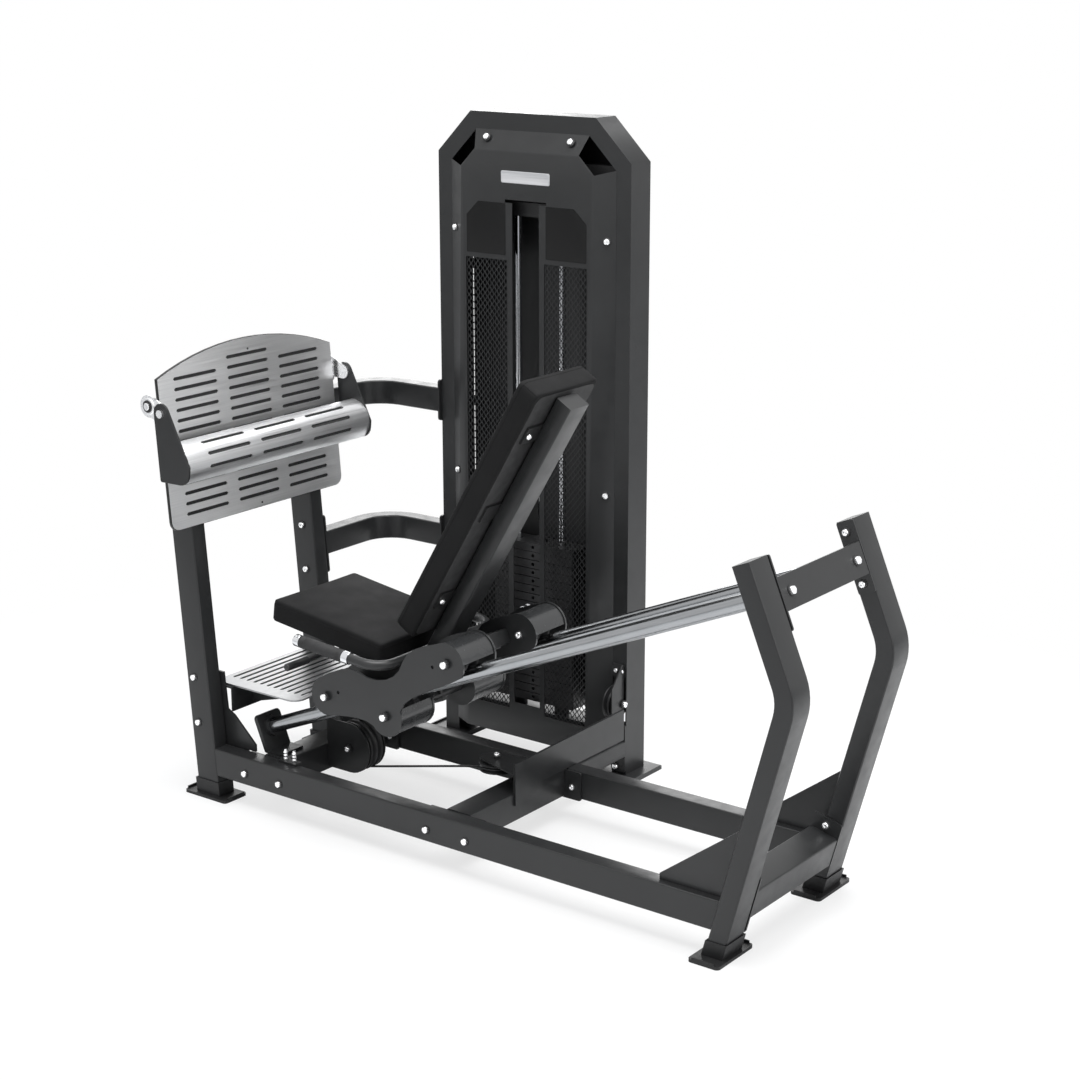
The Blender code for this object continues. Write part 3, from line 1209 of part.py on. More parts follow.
def build_sled_plates():
    axles = (AXLE_FRONT, AXLE_REAR, AXLE_LOWER)
    bore = WHEEL_AXLE_RADIUS + GAP
    wheel_in = GAUGE_Y - WHEEL_WIDTH / 2 - GAP
    wheel_out = GAUGE_Y + WHEEL_WIDTH / 2 + GAP
    for side, sign in sides():
        w0, w1 = both(sign, INNER_PLATE_Y, INNER_PLATE_Y + PLATE)
        inner = plate("sled_plate_{}_inner".format(side), sled_outline(), w0, w1, rails())
        pins = []
        for s, h in axles:
            pins.append(turned("pin", rail_point(s, h), Y_AXIS * sign,
                               [(INNER_PLATE_Y + LAP, 0.014), (wheel_in, 0.014), (wheel_in, WHEEL_AXLE_RADIUS),
                                (OUTER_PLATE_Y + PLATE + GAP, WHEEL_AXLE_RADIUS),
                                (OUTER_PLATE_Y + PLATE + GAP, 0.012), (OUTER_PLATE_Y + PLATE + 0.007, 0.012)],
                               12))
        finish(fuse(inner, *pins), powder_coat)

        holes = [circle(axle, bore, 12) for axle in axles]
        holes += [circle((s, 0.047), 0.005, 8) for s in (-0.403, -0.052)]
        w0, w1 = both(sign, OUTER_PLATE_Y, OUTER_PLATE_Y + PLATE)
        outer = plate("sled_plate_{}_outer".format(side), sled_outline(), w0, w1, rails(), holes)
        pieces = []
        for s, h in axles:
            pieces.append(revolve("spacer", [(bore, wheel_out), (0.014, wheel_out), (0.014, OUTER_PLATE_Y + LAP),
                                             (bore, OUTER_PLATE_Y + LAP)], rail_point(s, h), Y_AXIS * sign, 12))
        w0, w1 = both(sign, INNER_PLATE_Y + PLATE + GAP, OUTER_PLATE_Y + LAP)
        for centre, first, last in ((AXLE_REAR, -16, 98), (AXLE_LOWER, -78, 8)):
            cover = (arc(centre, LOBE, first, last, 7) + arc(centre, LOBE - WHEEL_COVER_SHEET, last, first, 7))
            pieces.append(plate("cover", cover, w0, w1, rails()))
        finish(fuse(outer, *pieces), powder_coat)


def build_wheels():
    """Six grooved wheels; the groove follows the rail with a small clearance."""
    half = WHEEL_WIDTH / 2
    reach = GUIDE_RADIUS + GAP
    lip = math.degrees(math.acos(0.018 / reach))
    groove = [(AXLE_REAR[1] - reach * math.sin(math.radians(a)), -reach * math.cos(math.radians(a)))
              for a in [lip + (180 - 2 * lip) * i / 8 for i in range(9)]]
    bore = WHEEL_AXLE_RADIUS + GAP
    profile = [(bore, -half), (0.029, -half), (WHEEL_FLANGE, -0.021)] + groove
    profile += [(WHEEL_FLANGE, 0.021), (0.029, half), (bore, half)]
    for place, axle in (("front", AXLE_FRONT), ("rear", AXLE_REAR), ("lower", AXLE_LOWER)):
        for side, sign in sides():
            centre = rail_point(*axle, sign * GAUGE_Y)
            wheel = revolve("{}_wheel_{}".format(place, side), profile, centre, Y_AXIS, 20)
            finish(wheel, black_plastic)
            set_pivot(wheel, centre)


def seat_frame():
    """u runs back along the seat, v up out of it and w along Y."""
    return tilted(SEAT_FRONT_TOP, -SEAT_TILT)


def back_frame():
    """u runs up the back pad, v forwards out of it and w along Y."""
    return tilted(BACK_LOW_FRONT, math.pi / 2 - BACK_LEAN)


def build_sled_frame():
    """The sled's welded frame: cross tubes, spine, seat tube, back tube and handle bar."""
    inner = INNER_PLATE_Y - GAP
    half = CROSS_TUBE / 2
    spine = rounded(box_outline(*SPINE, *SPINE_H), 0.004, 1)
    frame = plate("sled_frame", spine, -SPINE_HALF, SPINE_HALF, rails())
    pieces = []
    for s in CROSS_TUBE_S:
        cross = box_outline(s - half, s + half, CROSS_TUBE_H, CROSS_TUBE_H + CROSS_TUBE)
        pieces.append(plate("cross", rounded(cross, 0.004, 1), -inner, inner, rails()))
    s, h = AXLE_LOWER
    pieces.append(turned("tie", rail_point(s, h), Y_AXIS, [(-inner, 0.0125), (inner, 0.0125)]))
    pieces.append(plate("web", box_outline(s - 0.020, s + 0.020, h, SPINE_H[0] + 0.002), -0.014, -0.006, rails()))
    anchor_s, anchor_h = CABLE_ANCHOR
    pieces.append(plate("anchor", box_outline(anchor_s + GAP, s + 0.004, anchor_h - 0.007, anchor_h + 0.010),
                        CABLE_Y - 0.008, CABLE_Y + 0.008, rails()))

    under = -SEAT_THICK - GAP
    pieces.append(plate("seat_plate", box_outline(0.030, SEAT_LENGTH - 0.040, under - PLATE, under), -SEAT_PLATE_HALF,
                        SEAT_PLATE_HALF, seat_frame()))
    seat_tube = rounded(box_outline(0.070, 0.470, under - SEAT_TUBE_DEEP, under - PLATE + LAP), 0.004, 1)
    pieces.append(plate("seat_tube", seat_tube, -SEAT_TUBE_HALF, SEAT_TUBE_HALF, seat_frame()))
    behind = -BACK_THICK - GAP
    tube_front = behind - PLATE + LAP
    back_tube = box_outline(BACK_TUBE_LOW, BACK_LENGTH - 0.013, tube_front - BACK_TUBE_DEEP, tube_front)
    pieces.append(plate("back_tube", rounded(back_tube, 0.004, 1), -BACK_TUBE_HALF, BACK_TUBE_HALF, back_frame()))
    for u in STRAP_PLACES:
        strap = box_outline(u, u + 0.050, behind - PLATE, behind)
        pieces.append(plate("strap", strap, -STRAP_HALF, STRAP_HALF, back_frame()))

    (front_x, front_z), (bend_x, bend_z) = HANDLE_FRONT, HANDLE_BEND
    corners = [(front_x, -HANDLE_Y, front_z), (bend_x, -HANDLE_Y, bend_z), (bend_x, HANDLE_Y, bend_z),
               (front_x, HANDLE_Y, front_z)]
    normal = Vector((front_z - bend_z, 0, bend_x - front_x)).normalized()
    pieces.append(sweep("handle", fillet_path(corners, HANDLE_FILLET, 6), circle((0, 0), HANDLE_RADIUS, 14), normal))
    x, z = LEVER_HINGE
    pieces.append(turned("lever_pin", (x, 0, z), -Y_AXIS, [(0.020, AXLE_RADIUS), (0.0515, AXLE_RADIUS),
                                                           (0.0515, 0.011), (0.056, 0.011)]))
    finish(fuse(frame, *pieces), powder_coat)


def soft_pad(name, frame, length, thick, half, edge):
    """A cushion as a box with rounded edges."""
    pad = plate(name, box_outline(0, length, -thick, 0), -half, half, frame)
    bevel = pad.modifiers.new("edges", "BEVEL")
    bevel.width = edge
    bevel.segments = 3
    bevel.limit_method = "ANGLE"
    return finish(pad, upholstery)


def build_pads():
    soft_pad("seat_pad", seat_frame(), SEAT_LENGTH, SEAT_THICK, SEAT_HALF, PAD_EDGE)
    soft_pad("back_pad", back_frame(), BACK_LENGTH, BACK_THICK, BACK_HALF, PAD_EDGE)


def build_release_lever():
    """The short lever under the seat, with its hub on the sled's pin."""
    x, z = LEVER_HINGE
    hub = revolve("release_lever", [(BORE, 0.0305), (0.014, 0.0305), (0.014, 0.0505), (BORE, 0.0505)], (x, 0, z),
                  -Y_AXIS, 16)
    end = LEVER_GRIP_END
    path = fillet_path([(x - 0.010, -0.0405, z), (x - 0.068, -0.100, z - 0.004),
                        (x - 0.070, end + LEVER_GRIP_LENGTH, z - 0.005)], 0.020, 4)
    arm = sweep("arm", path, circle((0, 0), 0.005, 10), Z_AXIS)
    grip = turned("grip", (x - 0.070, 0, z - 0.005), -Y_AXIS,
                  [(-end - LEVER_GRIP_LENGTH - 0.003, 0.007), (-end - LEVER_GRIP_LENGTH, LEVER_GRIP_RADIUS),
                   (-end - 0.004, LEVER_GRIP_RADIUS), (-end, 0.007)], 12)
    fuse(hub, arm, grip)
    finish(hub, black_plastic)
    set_pivot(hub, (x, 0, z))


def centre_on_origin():
    """Move the assembly so that its bounding box stands centred on the origin."""
    graph = bpy.context.evaluated_depsgraph_get()
    low = Vector((1e9, 1e9, 1e9))
    high = -low
    for thing in bpy.context.scene.objects:
        if thing.type == "EMPTY":
            continue
        shape = thing.evaluated_get(graph)
        mesh = shape.to_mesh()
        for vertex in mesh.vertices:
            place = thing.matrix_world @ vertex.co
            low = Vector(map(min, low, place))
            high = Vector(map(max, high, place))
        shape.to_mesh_clear()
    ROOT.location = (-(low.x + high.x) / 2, -(low.y + high.y) / 2, -low.z)
    print("shift", tuple(round(v, 5) for v in ROOT.location), "size", tuple(round(v, 4) for v in high - low))


def main():
    global ROOT
    clear_scene()
    ROOT = bpy.data.objects.new("leg_press", None)
    bpy.context.scene.collection.objects.link(ROOT)
    for build in (build_side_frames, build_front_crossmember, build_mid_crossmember, build_rear_crossbar,
                  build_guide_rails, build_rail_end_bracket, build_foot_plate, build_calf_roller,
                  build_roller_lugs, build_step, build_braces, build_tower_frame, build_covers, build_stack,
                  build_tower_inside, build_tower_links, build_pulleys, build_cable, build_sled_plates,
                  build_wheels, build_sled_frame, build_pads, build_release_lever):
        build()
    bpy.context.view_layer.update()
    centre_on_origin()


main()
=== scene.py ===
# %% [markdown]
# # Dressing a seated leg press
# The imported CAD model is the frame: its solids carry the joints and the collisions.
# This lesson gives those solids their finishes and adds what a drawing leaves out, such as
# cushions, perforated sheet, bolts, grips, cables and rubber. Nearly every new piece says which
# body it rides on, so that the sled, the stack and the calf roller still move; the two stretches
# of rope that change ride on none.

# %% Load the frame
import json
import math

import bmesh
import bpy
from mathutils import Matrix, Vector
from mathutils.geometry import tessellate_polygon


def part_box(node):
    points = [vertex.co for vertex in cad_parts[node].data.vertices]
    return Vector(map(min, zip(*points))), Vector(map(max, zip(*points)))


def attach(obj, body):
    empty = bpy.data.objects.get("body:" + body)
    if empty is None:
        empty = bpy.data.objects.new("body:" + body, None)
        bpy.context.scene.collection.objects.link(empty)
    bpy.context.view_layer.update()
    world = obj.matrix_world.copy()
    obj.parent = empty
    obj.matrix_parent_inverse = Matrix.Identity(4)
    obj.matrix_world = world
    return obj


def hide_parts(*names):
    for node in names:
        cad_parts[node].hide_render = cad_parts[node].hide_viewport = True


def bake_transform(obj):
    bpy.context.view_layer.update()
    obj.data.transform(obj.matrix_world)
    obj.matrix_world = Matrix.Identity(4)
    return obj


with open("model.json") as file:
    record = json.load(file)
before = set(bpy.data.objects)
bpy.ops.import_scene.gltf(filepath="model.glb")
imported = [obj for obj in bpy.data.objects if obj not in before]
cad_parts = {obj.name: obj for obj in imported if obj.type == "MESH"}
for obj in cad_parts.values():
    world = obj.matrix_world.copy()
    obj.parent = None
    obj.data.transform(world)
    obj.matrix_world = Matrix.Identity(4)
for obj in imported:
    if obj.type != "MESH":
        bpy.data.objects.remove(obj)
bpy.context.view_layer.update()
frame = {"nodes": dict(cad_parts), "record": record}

NODES = frame["nodes"]

# %% [markdown]
# ## One set of places
# A maker draws the machine from its own corner: x = 0 at the front posts' feet, y = 0 on the
# sled's middle plane and z = 0 on the floor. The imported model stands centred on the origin.
# Reading the shift off two CAD nodes, instead of typing it in, keeps the drawing's numbers
# usable here whatever the pack does.

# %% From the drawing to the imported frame
TOWER_X = 0.5175
tower_low, tower_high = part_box("tower_frame")
tread_low, tread_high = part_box("foot_plate_tread")
SHIFT = Vector(((tower_low[0] + tower_high[0]) / 2 - TOWER_X, (tread_low[1] + tread_high[1]) / 2, 0))
SIDES = (("left", -1), ("right", 1))


def at(x, y, z):
    """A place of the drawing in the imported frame."""
    return Vector((x, y, z)) + SHIFT


print("shift", tuple(round(v, 4) for v in SHIFT))

# %% [markdown]
# ## The camera
# A long lens from a standing viewer's height keeps the tower's sides nearly upright. The lens
# comes from the picture's vanishing points, and the distance from the weight plates, which are
# 25 mm apart. An empty with a Track To constraint would aim the camera too; a matrix worked out
# from two angles is plainer, and leaves nothing extra in the scene.

# %% Camera
PHOTO_WIDTH = 1080
FOCAL_PIXELS = 2190
SENSOR_WIDTH = 36.0
CAMERA_PLACE = at(4.145, -4.233, 2.320)
AZIMUTH, ELEVATION, ROLL = (math.radians(a) for a in (37.0, 15.6, -0.1))


def link(thing):
    bpy.context.scene.collection.objects.link(thing)
    return thing


lens = bpy.data.cameras.new("camera")
lens.sensor_width = SENSOR_WIDTH
lens.lens = FOCAL_PIXELS / PHOTO_WIDTH * SENSOR_WIDTH
lens.clip_end = 60.0
camera = link(bpy.data.objects.new("camera", lens))
towards_camera = Vector((math.sin(AZIMUTH) * math.cos(ELEVATION), -math.cos(AZIMUTH) * math.cos(ELEVATION),
                         math.sin(ELEVATION)))
aim = (-towards_camera).to_track_quat("-Z", "Y").to_matrix().to_4x4()
camera.matrix_world = Matrix.Translation(CAMERA_PLACE) @ aim @ Matrix.Rotation(ROLL, 4, "Z")
bpy.context.scene.camera = camera
bpy.context.scene.view_settings.view_transform = "Standard"
print("lens", round(lens.lens, 1), "mm")

# %% [markdown]
# ## Shader sums as Python
# A node tree is quicker to read as a formula. `Signal` wraps one socket and overloads plus and
# times, reflected ones too, so that `0.5 * mask` adds a Math node by itself. `Finish` is one
# material; its method `node` adds any other node: the settings go in first, because they decide
# which sockets the node has, and then the values or links of its sockets.


# %% Signal and Finish
class Signal:
    """One output socket of a finish. Sums and products of signals add Math nodes."""

    def __init__(self, finish, socket):
        self.finish, self.socket = finish, socket

    def sum(self, operation, first, second=0.0):
        return self.finish.node("ShaderNodeMath", {"operation": operation}, {0: first, 1: second})

    def __add__(self, other):
        return self.sum("ADD", self, other)

    def __mul__(self, other):
        return self.sum("MULTIPLY", self, other)

    __radd__, __rmul__ = __add__, __mul__

    def sine(self):
        return self.sum("SINE", self)

    def fit(self, low, high, new_low=0.0, new_high=1.0):
        """Stretch the range low..high to the new range and clip what falls outside."""
        return self.finish.node("ShaderNodeMapRange", {"clamp": True},
                                {"Value": self, "From Min": low, "From Max": high, "To Min": new_low,
                                 "To Max": new_high})

    def blend(self, first, second):
        """A colour between two colours, at this signal's value."""
        return self.finish.node("ShaderNodeMix", {"data_type": "RGBA"}, {0: self, 6: first, 7: second}, 2)


class Finish:
    """A procedural material on one Principled shader."""

    def __init__(self, name, colour, roughness, metallic=0.0, **plain):
        self.material = bpy.data.materials.new(name)
        self.material.use_nodes = True
        self.material.diffuse_color = (*colour, 1)
        self.tree = self.material.node_tree
        self.shader = self.tree.nodes["Principled BSDF"]
        self.set(Base_Color=colour, Roughness=roughness, Metallic=metallic, **plain)

    def plug(self, value, socket):
        if isinstance(value, Signal):
            self.tree.links.new(value.socket, socket)
        elif socket.type == "RGBA":
            socket.default_value = (*value, 1)
        else:
            socket.default_value = value

    def set(self, **sockets):
        """Give the shader's sockets values or signals; an underscore stands for a space."""
        for name, value in sockets.items():
            self.plug(value, self.shader.inputs[name.replace("_", " ")])
        return self

    def node(self, kind, settings, sockets, output=0):
        """Add one node: its settings first, then the values or links of its sockets."""
        made = self.tree.nodes.new(kind)
        for name, value in settings.items():
            setattr(made, name, value)
        for key, value in sockets.items():
            self.plug(value, made.inputs[key])
        return Signal(self, made.outputs[output])

    def place(self, stretch=(1, 1, 1)):
        """Object coordinates in metres, stretched along each axis."""
        here = self.node("ShaderNodeTexCoord", {}, {}, "Object")
        return self.node("ShaderNodeVectorMath", {"operation": "MULTIPLY"}, {0: here, 1: stretch})

    def axis(self, letter):
        return self.node("ShaderNodeSeparateXYZ", {}, {0: self.place()}, letter)

    def noise(self, scale, detail=2.0, stretch=(1, 1, 1)):
        return self.node("ShaderNodeTexNoise", {}, {"Vector": self.place(stretch), "Scale": scale,
                                                    "Detail": detail})

    def clouds(self, scale, detail, low=0.0, high=1.0, stretch=(1, 1, 1)):
        """Noise whose usual values fill the range low..high."""
        return self.noise(scale, detail, stretch).fit(0.3, 0.7, low, high)

    def cells(self, scale, feature="F1"):
        return self.node("ShaderNodeTexVoronoi", {"feature": feature},
                         {"Vector": self.place(), "Scale": scale}, "Distance")

    def bump(self, height, depth, strength=1.0):
        """Raise the surface by a signal; depth is in metres."""
        normal = self.node("ShaderNodeBump", {}, {"Strength": strength, "Distance": depth, "Height": height})
        return self.set(Normal=normal)


# %% [markdown]
# ## Studio floor, world and lamps
# The picture shows the machine cut out on white. Brighter lamps would bleach the steel, so the
# white comes from the world and the floor instead: rays from the camera, and mirror rays, meet
# plain white, and only light that scatters sees the dimmer sky. The floor keeps the machine's
# shadow under it and fades to white further out, so that no horizon shows.

# %% World
world = bpy.data.worlds.new("studio")
world.use_nodes = True
bpy.context.scene.world = world
WHITE = (1.0, 1.0, 1.0)
SKY = (0.93, 0.96, 1.0)
SKY_STRENGTH = 0.42
GLOSSY_SKY = 1.0


def make_world(tree):
    """White for the camera, a paler grey for mirrors and a dim sky for scattered light."""
    tree.nodes.clear()
    add, join = tree.nodes.new, tree.links.new
    path, out = add("ShaderNodeLightPath"), add("ShaderNodeOutputWorld")
    shades = []
    for colour, strength in ((WHITE, 1.0), (WHITE, GLOSSY_SKY), (SKY, SKY_STRENGTH)):
        shade = add("ShaderNodeBackground")
        shade.inputs["Color"].default_value = (*colour, 1)
        shade.inputs["Strength"].default_value = strength
        shades.append(shade)
    mirror, seen = add("ShaderNodeMixShader"), add("ShaderNodeMixShader")
    join(path.outputs["Is Glossy Ray"], mirror.inputs[0])
    join(shades[2].outputs[0], mirror.inputs[1])
    join(shades[1].outputs[0], mirror.inputs[2])
    join(path.outputs["Is Camera Ray"], seen.inputs[0])
    join(mirror.outputs[0], seen.inputs[1])
    join(shades[0].outputs[0], seen.inputs[2])
    join(seen.outputs[0], out.inputs[0])


make_world(world.node_tree)

# %% Floor
FLOOR_REACH = 14.0
SHADOW_SHARE = 0.30
SHADOW_END, WHITE_START = 1.1, 2.4


def rectangle(low_u, low_v, high_u, high_v):
    """The four corners of a rectangle, in turn."""
    return [(low_u, low_v), (high_u, low_v), (high_u, high_v), (low_u, high_v)]


floor_mesh = bpy.data.meshes.new("floor")
floor_corners = rectangle(-FLOOR_REACH, -FLOOR_REACH, FLOOR_REACH, FLOOR_REACH)
floor_mesh.from_pydata([(x, y, 0) for x, y in floor_corners], [], [(0, 1, 2, 3)])
floor = link(bpy.data.objects.new("floor", floor_mesh))
floor_finish = Finish("pale_floor", (0.90, 0.90, 0.90), 0.9)
middle = floor_finish.node("ShaderNodeVectorMath", {"operation": "LENGTH"},
                           {0: floor_finish.place((0.9, 1.1, 1.0))}, "Value")
from_camera = floor_finish.node("ShaderNodeLightPath", {}, {}, "Is Camera Ray")
white = floor_finish.node("ShaderNodeEmission", {}, {"Color": WHITE, "Strength": 1.0})
lit = Signal(floor_finish, floor_finish.shader.outputs[0])
share = from_camera * middle.fit(SHADOW_END, WHITE_START, 1 - SHADOW_SHARE, 1.0)
mixed = floor_finish.node("ShaderNodeMixShader", {}, {0: share, 1: lit, 2: white})
floor_finish.plug(mixed, floor_finish.tree.nodes["Material Output"].inputs["Surface"])
floor_mesh.materials.append(floor_finish.material)


# %% Lamps
def soft_lamp(name, place, aim_at, size, watts):
    """A large rectangular lamp, which gives the wide soft highlights of a photo studio."""
    data = bpy.data.lights.new(name, "AREA")
    data.shape = "RECTANGLE"
    data.size, data.size_y = size
    data.energy = watts
    lamp = link(bpy.data.objects.new(name, data))
    lamp.location = place
    lamp.rotation_euler = (Vector(aim_at) - Vector(place)).to_track_quat("-Z", "Y").to_euler()


soft_lamp("overhead", (0.4, -0.2, 4.6), (0, 0, 0.6), (4.4, 3.4), 290)
soft_lamp("right_fill", (4.6, 0.6, 2.6), (0.2, 0.0, 0.8), (2.6, 3.0), 70)
soft_lamp("camera_fill", (0.4, -5.2, 2.4), (0, 0, 0.8), (3.4, 2.6), 22)
soft_lamp("back_rim", (-2.7, 3.6, 2.3), (0, 0, 0.7), (3.2, 1.9), 60)

# %% [markdown]
# ## Powder coat
# Nearly every tube is painted with anthracite powder, baked to a satin skin. Up close such a
# skin has orange peel, a fine ripple, and its gloss is never quite even. Two octaves of noise
# give both: a wide one for the tone and gloss, and a tight one for the ripple in the bump.


# %% Powder coat
def shade(colour, factor, most=1.0):
    """A colour made darker or lighter by a factor."""
    return tuple(min(c * factor, most) for c in colour)


def powder_coat(name, colour, roughness=0.42, shine=0.36):
    coat = Finish(name, colour, roughness, Specular_IOR_Level=shine)
    tone = coat.clouds(4.0, 3.0)
    coat.set(Base_Color=tone.blend(shade(colour, 0.90), shade(colour, 1.14)))
    coat.set(Roughness=coat.clouds(28.0, 3.0, roughness - 0.05, roughness + 0.06))
    return coat.bump(coat.noise(900.0, 1.0), 0.00005, 0.45).material


COAT = powder_coat("powder_coat", (0.0195, 0.0200, 0.0206), 0.33)
DARK_COAT = powder_coat("dark_coat", (0.012, 0.012, 0.0125), 0.46)
# a paler copy of the powder coat: its lighter colour is painted sheen, its lower roughness and stronger gloss
# a real satin skin
SATIN_PAINTED_SHEEN_COAT = powder_coat("satin_painted_sheen_coat", (0.030, 0.031, 0.032), 0.24, 0.60)

# %% [markdown]
# ## Vinyl
# The cushions wear black vinyl with a pebbled grain. Voronoi cells give the pebbles, their
# edges the valleys between them, and a slow noise the duller and shinier places that hands and
# backs leave. The grain reads object coordinates, so that it needs no unwrapping.

# %% Vinyl
vinyl = Finish("vinyl", (0.0065, 0.0065, 0.0068), 0.75, Specular_IOR_Level=0.14)
tone = vinyl.noise(7.0, 3.0).fit(0.2, 0.8)
vinyl.set(Base_Color=tone.blend((0.0074, 0.0074, 0.0077), (0.0098, 0.0098, 0.0102)))
vinyl.set(Roughness=vinyl.clouds(16.0, 3.0, 0.70, 0.80))
pebbles = vinyl.cells(520.0, "DISTANCE_TO_EDGE").fit(0.0, 0.28)
VINYL = vinyl.bump(pebbles * 0.75 + vinyl.noise(900.0, 2.0) * 0.25, 0.00016, 0.55).material

# %% [markdown]
# ## Bright metal
# Three bright finishes meet here. The tread, the step and the roller's shell are stainless
# sheet, brushed in one direction: noise stretched very long along the brush strokes. The three
# copies differ in brightness by how light falls on them: the upright tread's is lightened, painted
# light, and the flat step's is far darker, painted shade. The rails and rods are hard chrome, a
# near mirror with faint polishing marks along them; the rails' copy is much darker than the
# rods', painted shade for the dark reflections along them. Bolts are bright zinc, a little cloudy.


# %% Brushed steel, chrome and zinc
def brushed_steel(name, stretch, colour):
    """Sheet with fine strokes; stretch is small along the strokes."""
    sheet = Finish(name, colour, 0.34, 1.0)
    stroke = sheet.clouds(1.0, 5.0, stretch=stretch)
    cloud = sheet.clouds(5.0, 2.0)
    tone = stroke * 0.75 + cloud * 0.25
    sheet.set(Base_Color=tone.blend(shade(colour, 0.84), shade(colour, 1.14, 0.95)))
    sheet.set(Roughness=stroke.fit(0, 1, 0.30, 0.44))
    return sheet.bump(stroke, 0.00005, 0.30).material


def chrome(name, roughness, stretch=(1, 1, 1), colour=(0.76, 0.77, 0.79)):
    plating = Finish(name, colour, roughness, 1.0)
    streak = plating.clouds(9.0, 3.0, stretch=stretch)
    plating.set(Roughness=streak.fit(0, 1, roughness * 0.7, roughness * 1.5))
    plating.set(Base_Color=streak.blend(shade(colour, 0.88), colour))
    return plating.material


# one stainless in lit and shaded copies: the upright tread's is lightened, painted light, the flat step's
# darkened, painted shade
LIT_BRUSHED_TREAD = brushed_steel("lit_brushed_tread", (40.0, 5.0, 1100.0), (0.90, 0.905, 0.915))
SHADED_BRUSHED_STEP = brushed_steel("shaded_brushed_step", (1100.0, 5.0, 40.0), (0.285, 0.288, 0.293))
BRUSHED_SHELL = brushed_steel("brushed_shell", (700.0, 4.0, 700.0), (0.76, 0.765, 0.775))
# the rails' copy of the chrome is far darker than the rods': painted shade for the dark reflections along
# them
SHADED_RAIL_CHROME = chrome("shaded_rail_chrome", 0.17, (1.2, 60.0, 3.0), (0.34, 0.35, 0.362))
CHROME = chrome("chrome", 0.10)
zinc = Finish("zinc", (0.97, 0.972, 0.98), 0.24, 1.0)
ZINC = zinc.set(Roughness=zinc.clouds(260.0, 2.0, 0.18, 0.34)).material

# %% [markdown]
# ## Plastic, rubber and cable sheath
# The wheels and pulleys are moulded black plastic, with the fine dimple of a spark-eroded
# mould. Grips and washers are rubber, duller and a little dusty, and so is the paint of the
# weight plates; the washers' black also stands as painted shade round the bolt heads. The steel
# rope has a smooth black sheath that still shows the twist of the strands under it.


# %% Plastic, rubber and sheath
def dusty(name, colour, roughness, patches, dark, light, grain, depth):
    """A dull skin that is paler where dust lies."""
    skin = Finish(name, colour, roughness)
    skin.set(Base_Color=skin.noise(*patches).fit(0.35, 0.75).blend(dark, light))
    return skin.bump(skin.noise(grain, 2.0), depth, 0.5).material


# black rubber for grips, boards and screws; on the bolt washers and the lug rings the same black stands as
# painted shade
RUBBER_AND_PAINTED_SHADE = dusty("rubber_and_painted_shade", (0.015, 0.015, 0.016), 0.74, (45.0, 3.0),
               (0.012, 0.012, 0.0125), (0.024, 0.024, 0.025), 1300.0, 0.0001)
STACK_PAINT = dusty("stack_plate", (0.017, 0.017, 0.018), 0.45, (22.0, 4.0),
                    (0.013, 0.013, 0.014), (0.027, 0.027, 0.028), 800.0, 0.00008)
moulding = Finish("moulded_black", (0.013, 0.013, 0.014), 0.46)
moulding.set(Roughness=moulding.clouds(55.0, 2.0, 0.40, 0.54))
PLASTIC = moulding.bump(moulding.noise(1900.0, 1.0), 0.00004, 0.4).material
sheath = Finish("rope_sheath", (0.011, 0.011, 0.012), 0.34)
twist = ((sheath.axis("X") + sheath.axis("Y") + sheath.axis("Z")) * 1500.0).sine()
SHEATH = sheath.bump(twist.fit(-1, 1), 0.0001, 0.4).material
print("finishes:", len(bpy.data.materials))

# %% [markdown]
# ## The sheet-metal and tube nodes
# The CAD nodes come in as loose flat triangles, so a bent tube would show its flats. Subdividing
# it would round what should stay square. Instead a merged copy stands in for each steel node:
# its edges over 50 degrees stay sharp, gentler ones are shaded smooth, and weighted normals
# keep the large flat faces flat, so that the tubes' small corner bevels read as rounded.

# %% Which finish each node wears
FINISHES = {
    "foot_plate_backing": DARK_COAT, "top_pulley_bracket": DARK_COAT,
    "foot_plate_tread": LIT_BRUSHED_TREAD, "step_plate": SHADED_BRUSHED_STEP, "calf_roller": BRUSHED_SHELL,
    "resting_plates": STACK_PAINT, "lifted_plates": STACK_PAINT, "top_plate": STACK_PAINT,
    "mid_pulley": PLASTIC, "front_pulley": PLASTIC, "tower_pulley": PLASTIC, "top_pulley_side": PLASTIC,
    "top_pulley_centre": PLASTIC, "release_lever": PLASTIC, "selector_pin": CHROME,
    "cable": SHEATH, "stack_cable": SHEATH, "seat_pad": VINYL, "back_pad": VINYL,
}
for side, sign in SIDES:
    for end in ("front", "rear"):
        FINISHES["{}_foot_{}".format(end, side)] = DARK_COAT
    for end in ("front", "rear", "lower"):
        FINISHES["{}_wheel_{}".format(end, side)] = PLASTIC
    FINISHES["guide_rail_" + side] = SHADED_RAIL_CHROME
    FINISHES["guide_rod_" + side] = CHROME
    FINISHES["roller_lug_" + side] = ZINC
BODY_OF = {}
for name, entry in frame["record"]["behaviour"]["bodies"].items():
    for node in (entry if isinstance(entry, list) else entry["nodes"]):
        BODY_OF[node] = name
for name, node in NODES.items():
    node.data.materials.clear()
    node.data.materials.append(FINISHES.get(name, COAT))

# %% Merged copies with smooth bends
SHARP_DEGREES = 50
MERGE_DISTANCE = 0.00002
FLAT_ANGLE = math.radians(0.4)
LARGE_FACES_LEAD = 50
COVER_FACES_TURN = 0.3


def shade_by_angle(mesh, degrees=SHARP_DEGREES):
    """Smooth faces, with the edges that turn more than so many degrees kept sharp."""
    limit = math.radians(degrees)
    bm = bmesh.new()
    bm.from_mesh(mesh)
    for face in bm.faces:
        face.smooth = True
    for edge in bm.edges:
        edge.smooth = len(edge.link_faces) == 2 and edge.calc_face_angle(0.0) < limit
    bm.to_mesh(mesh)
    bm.free()


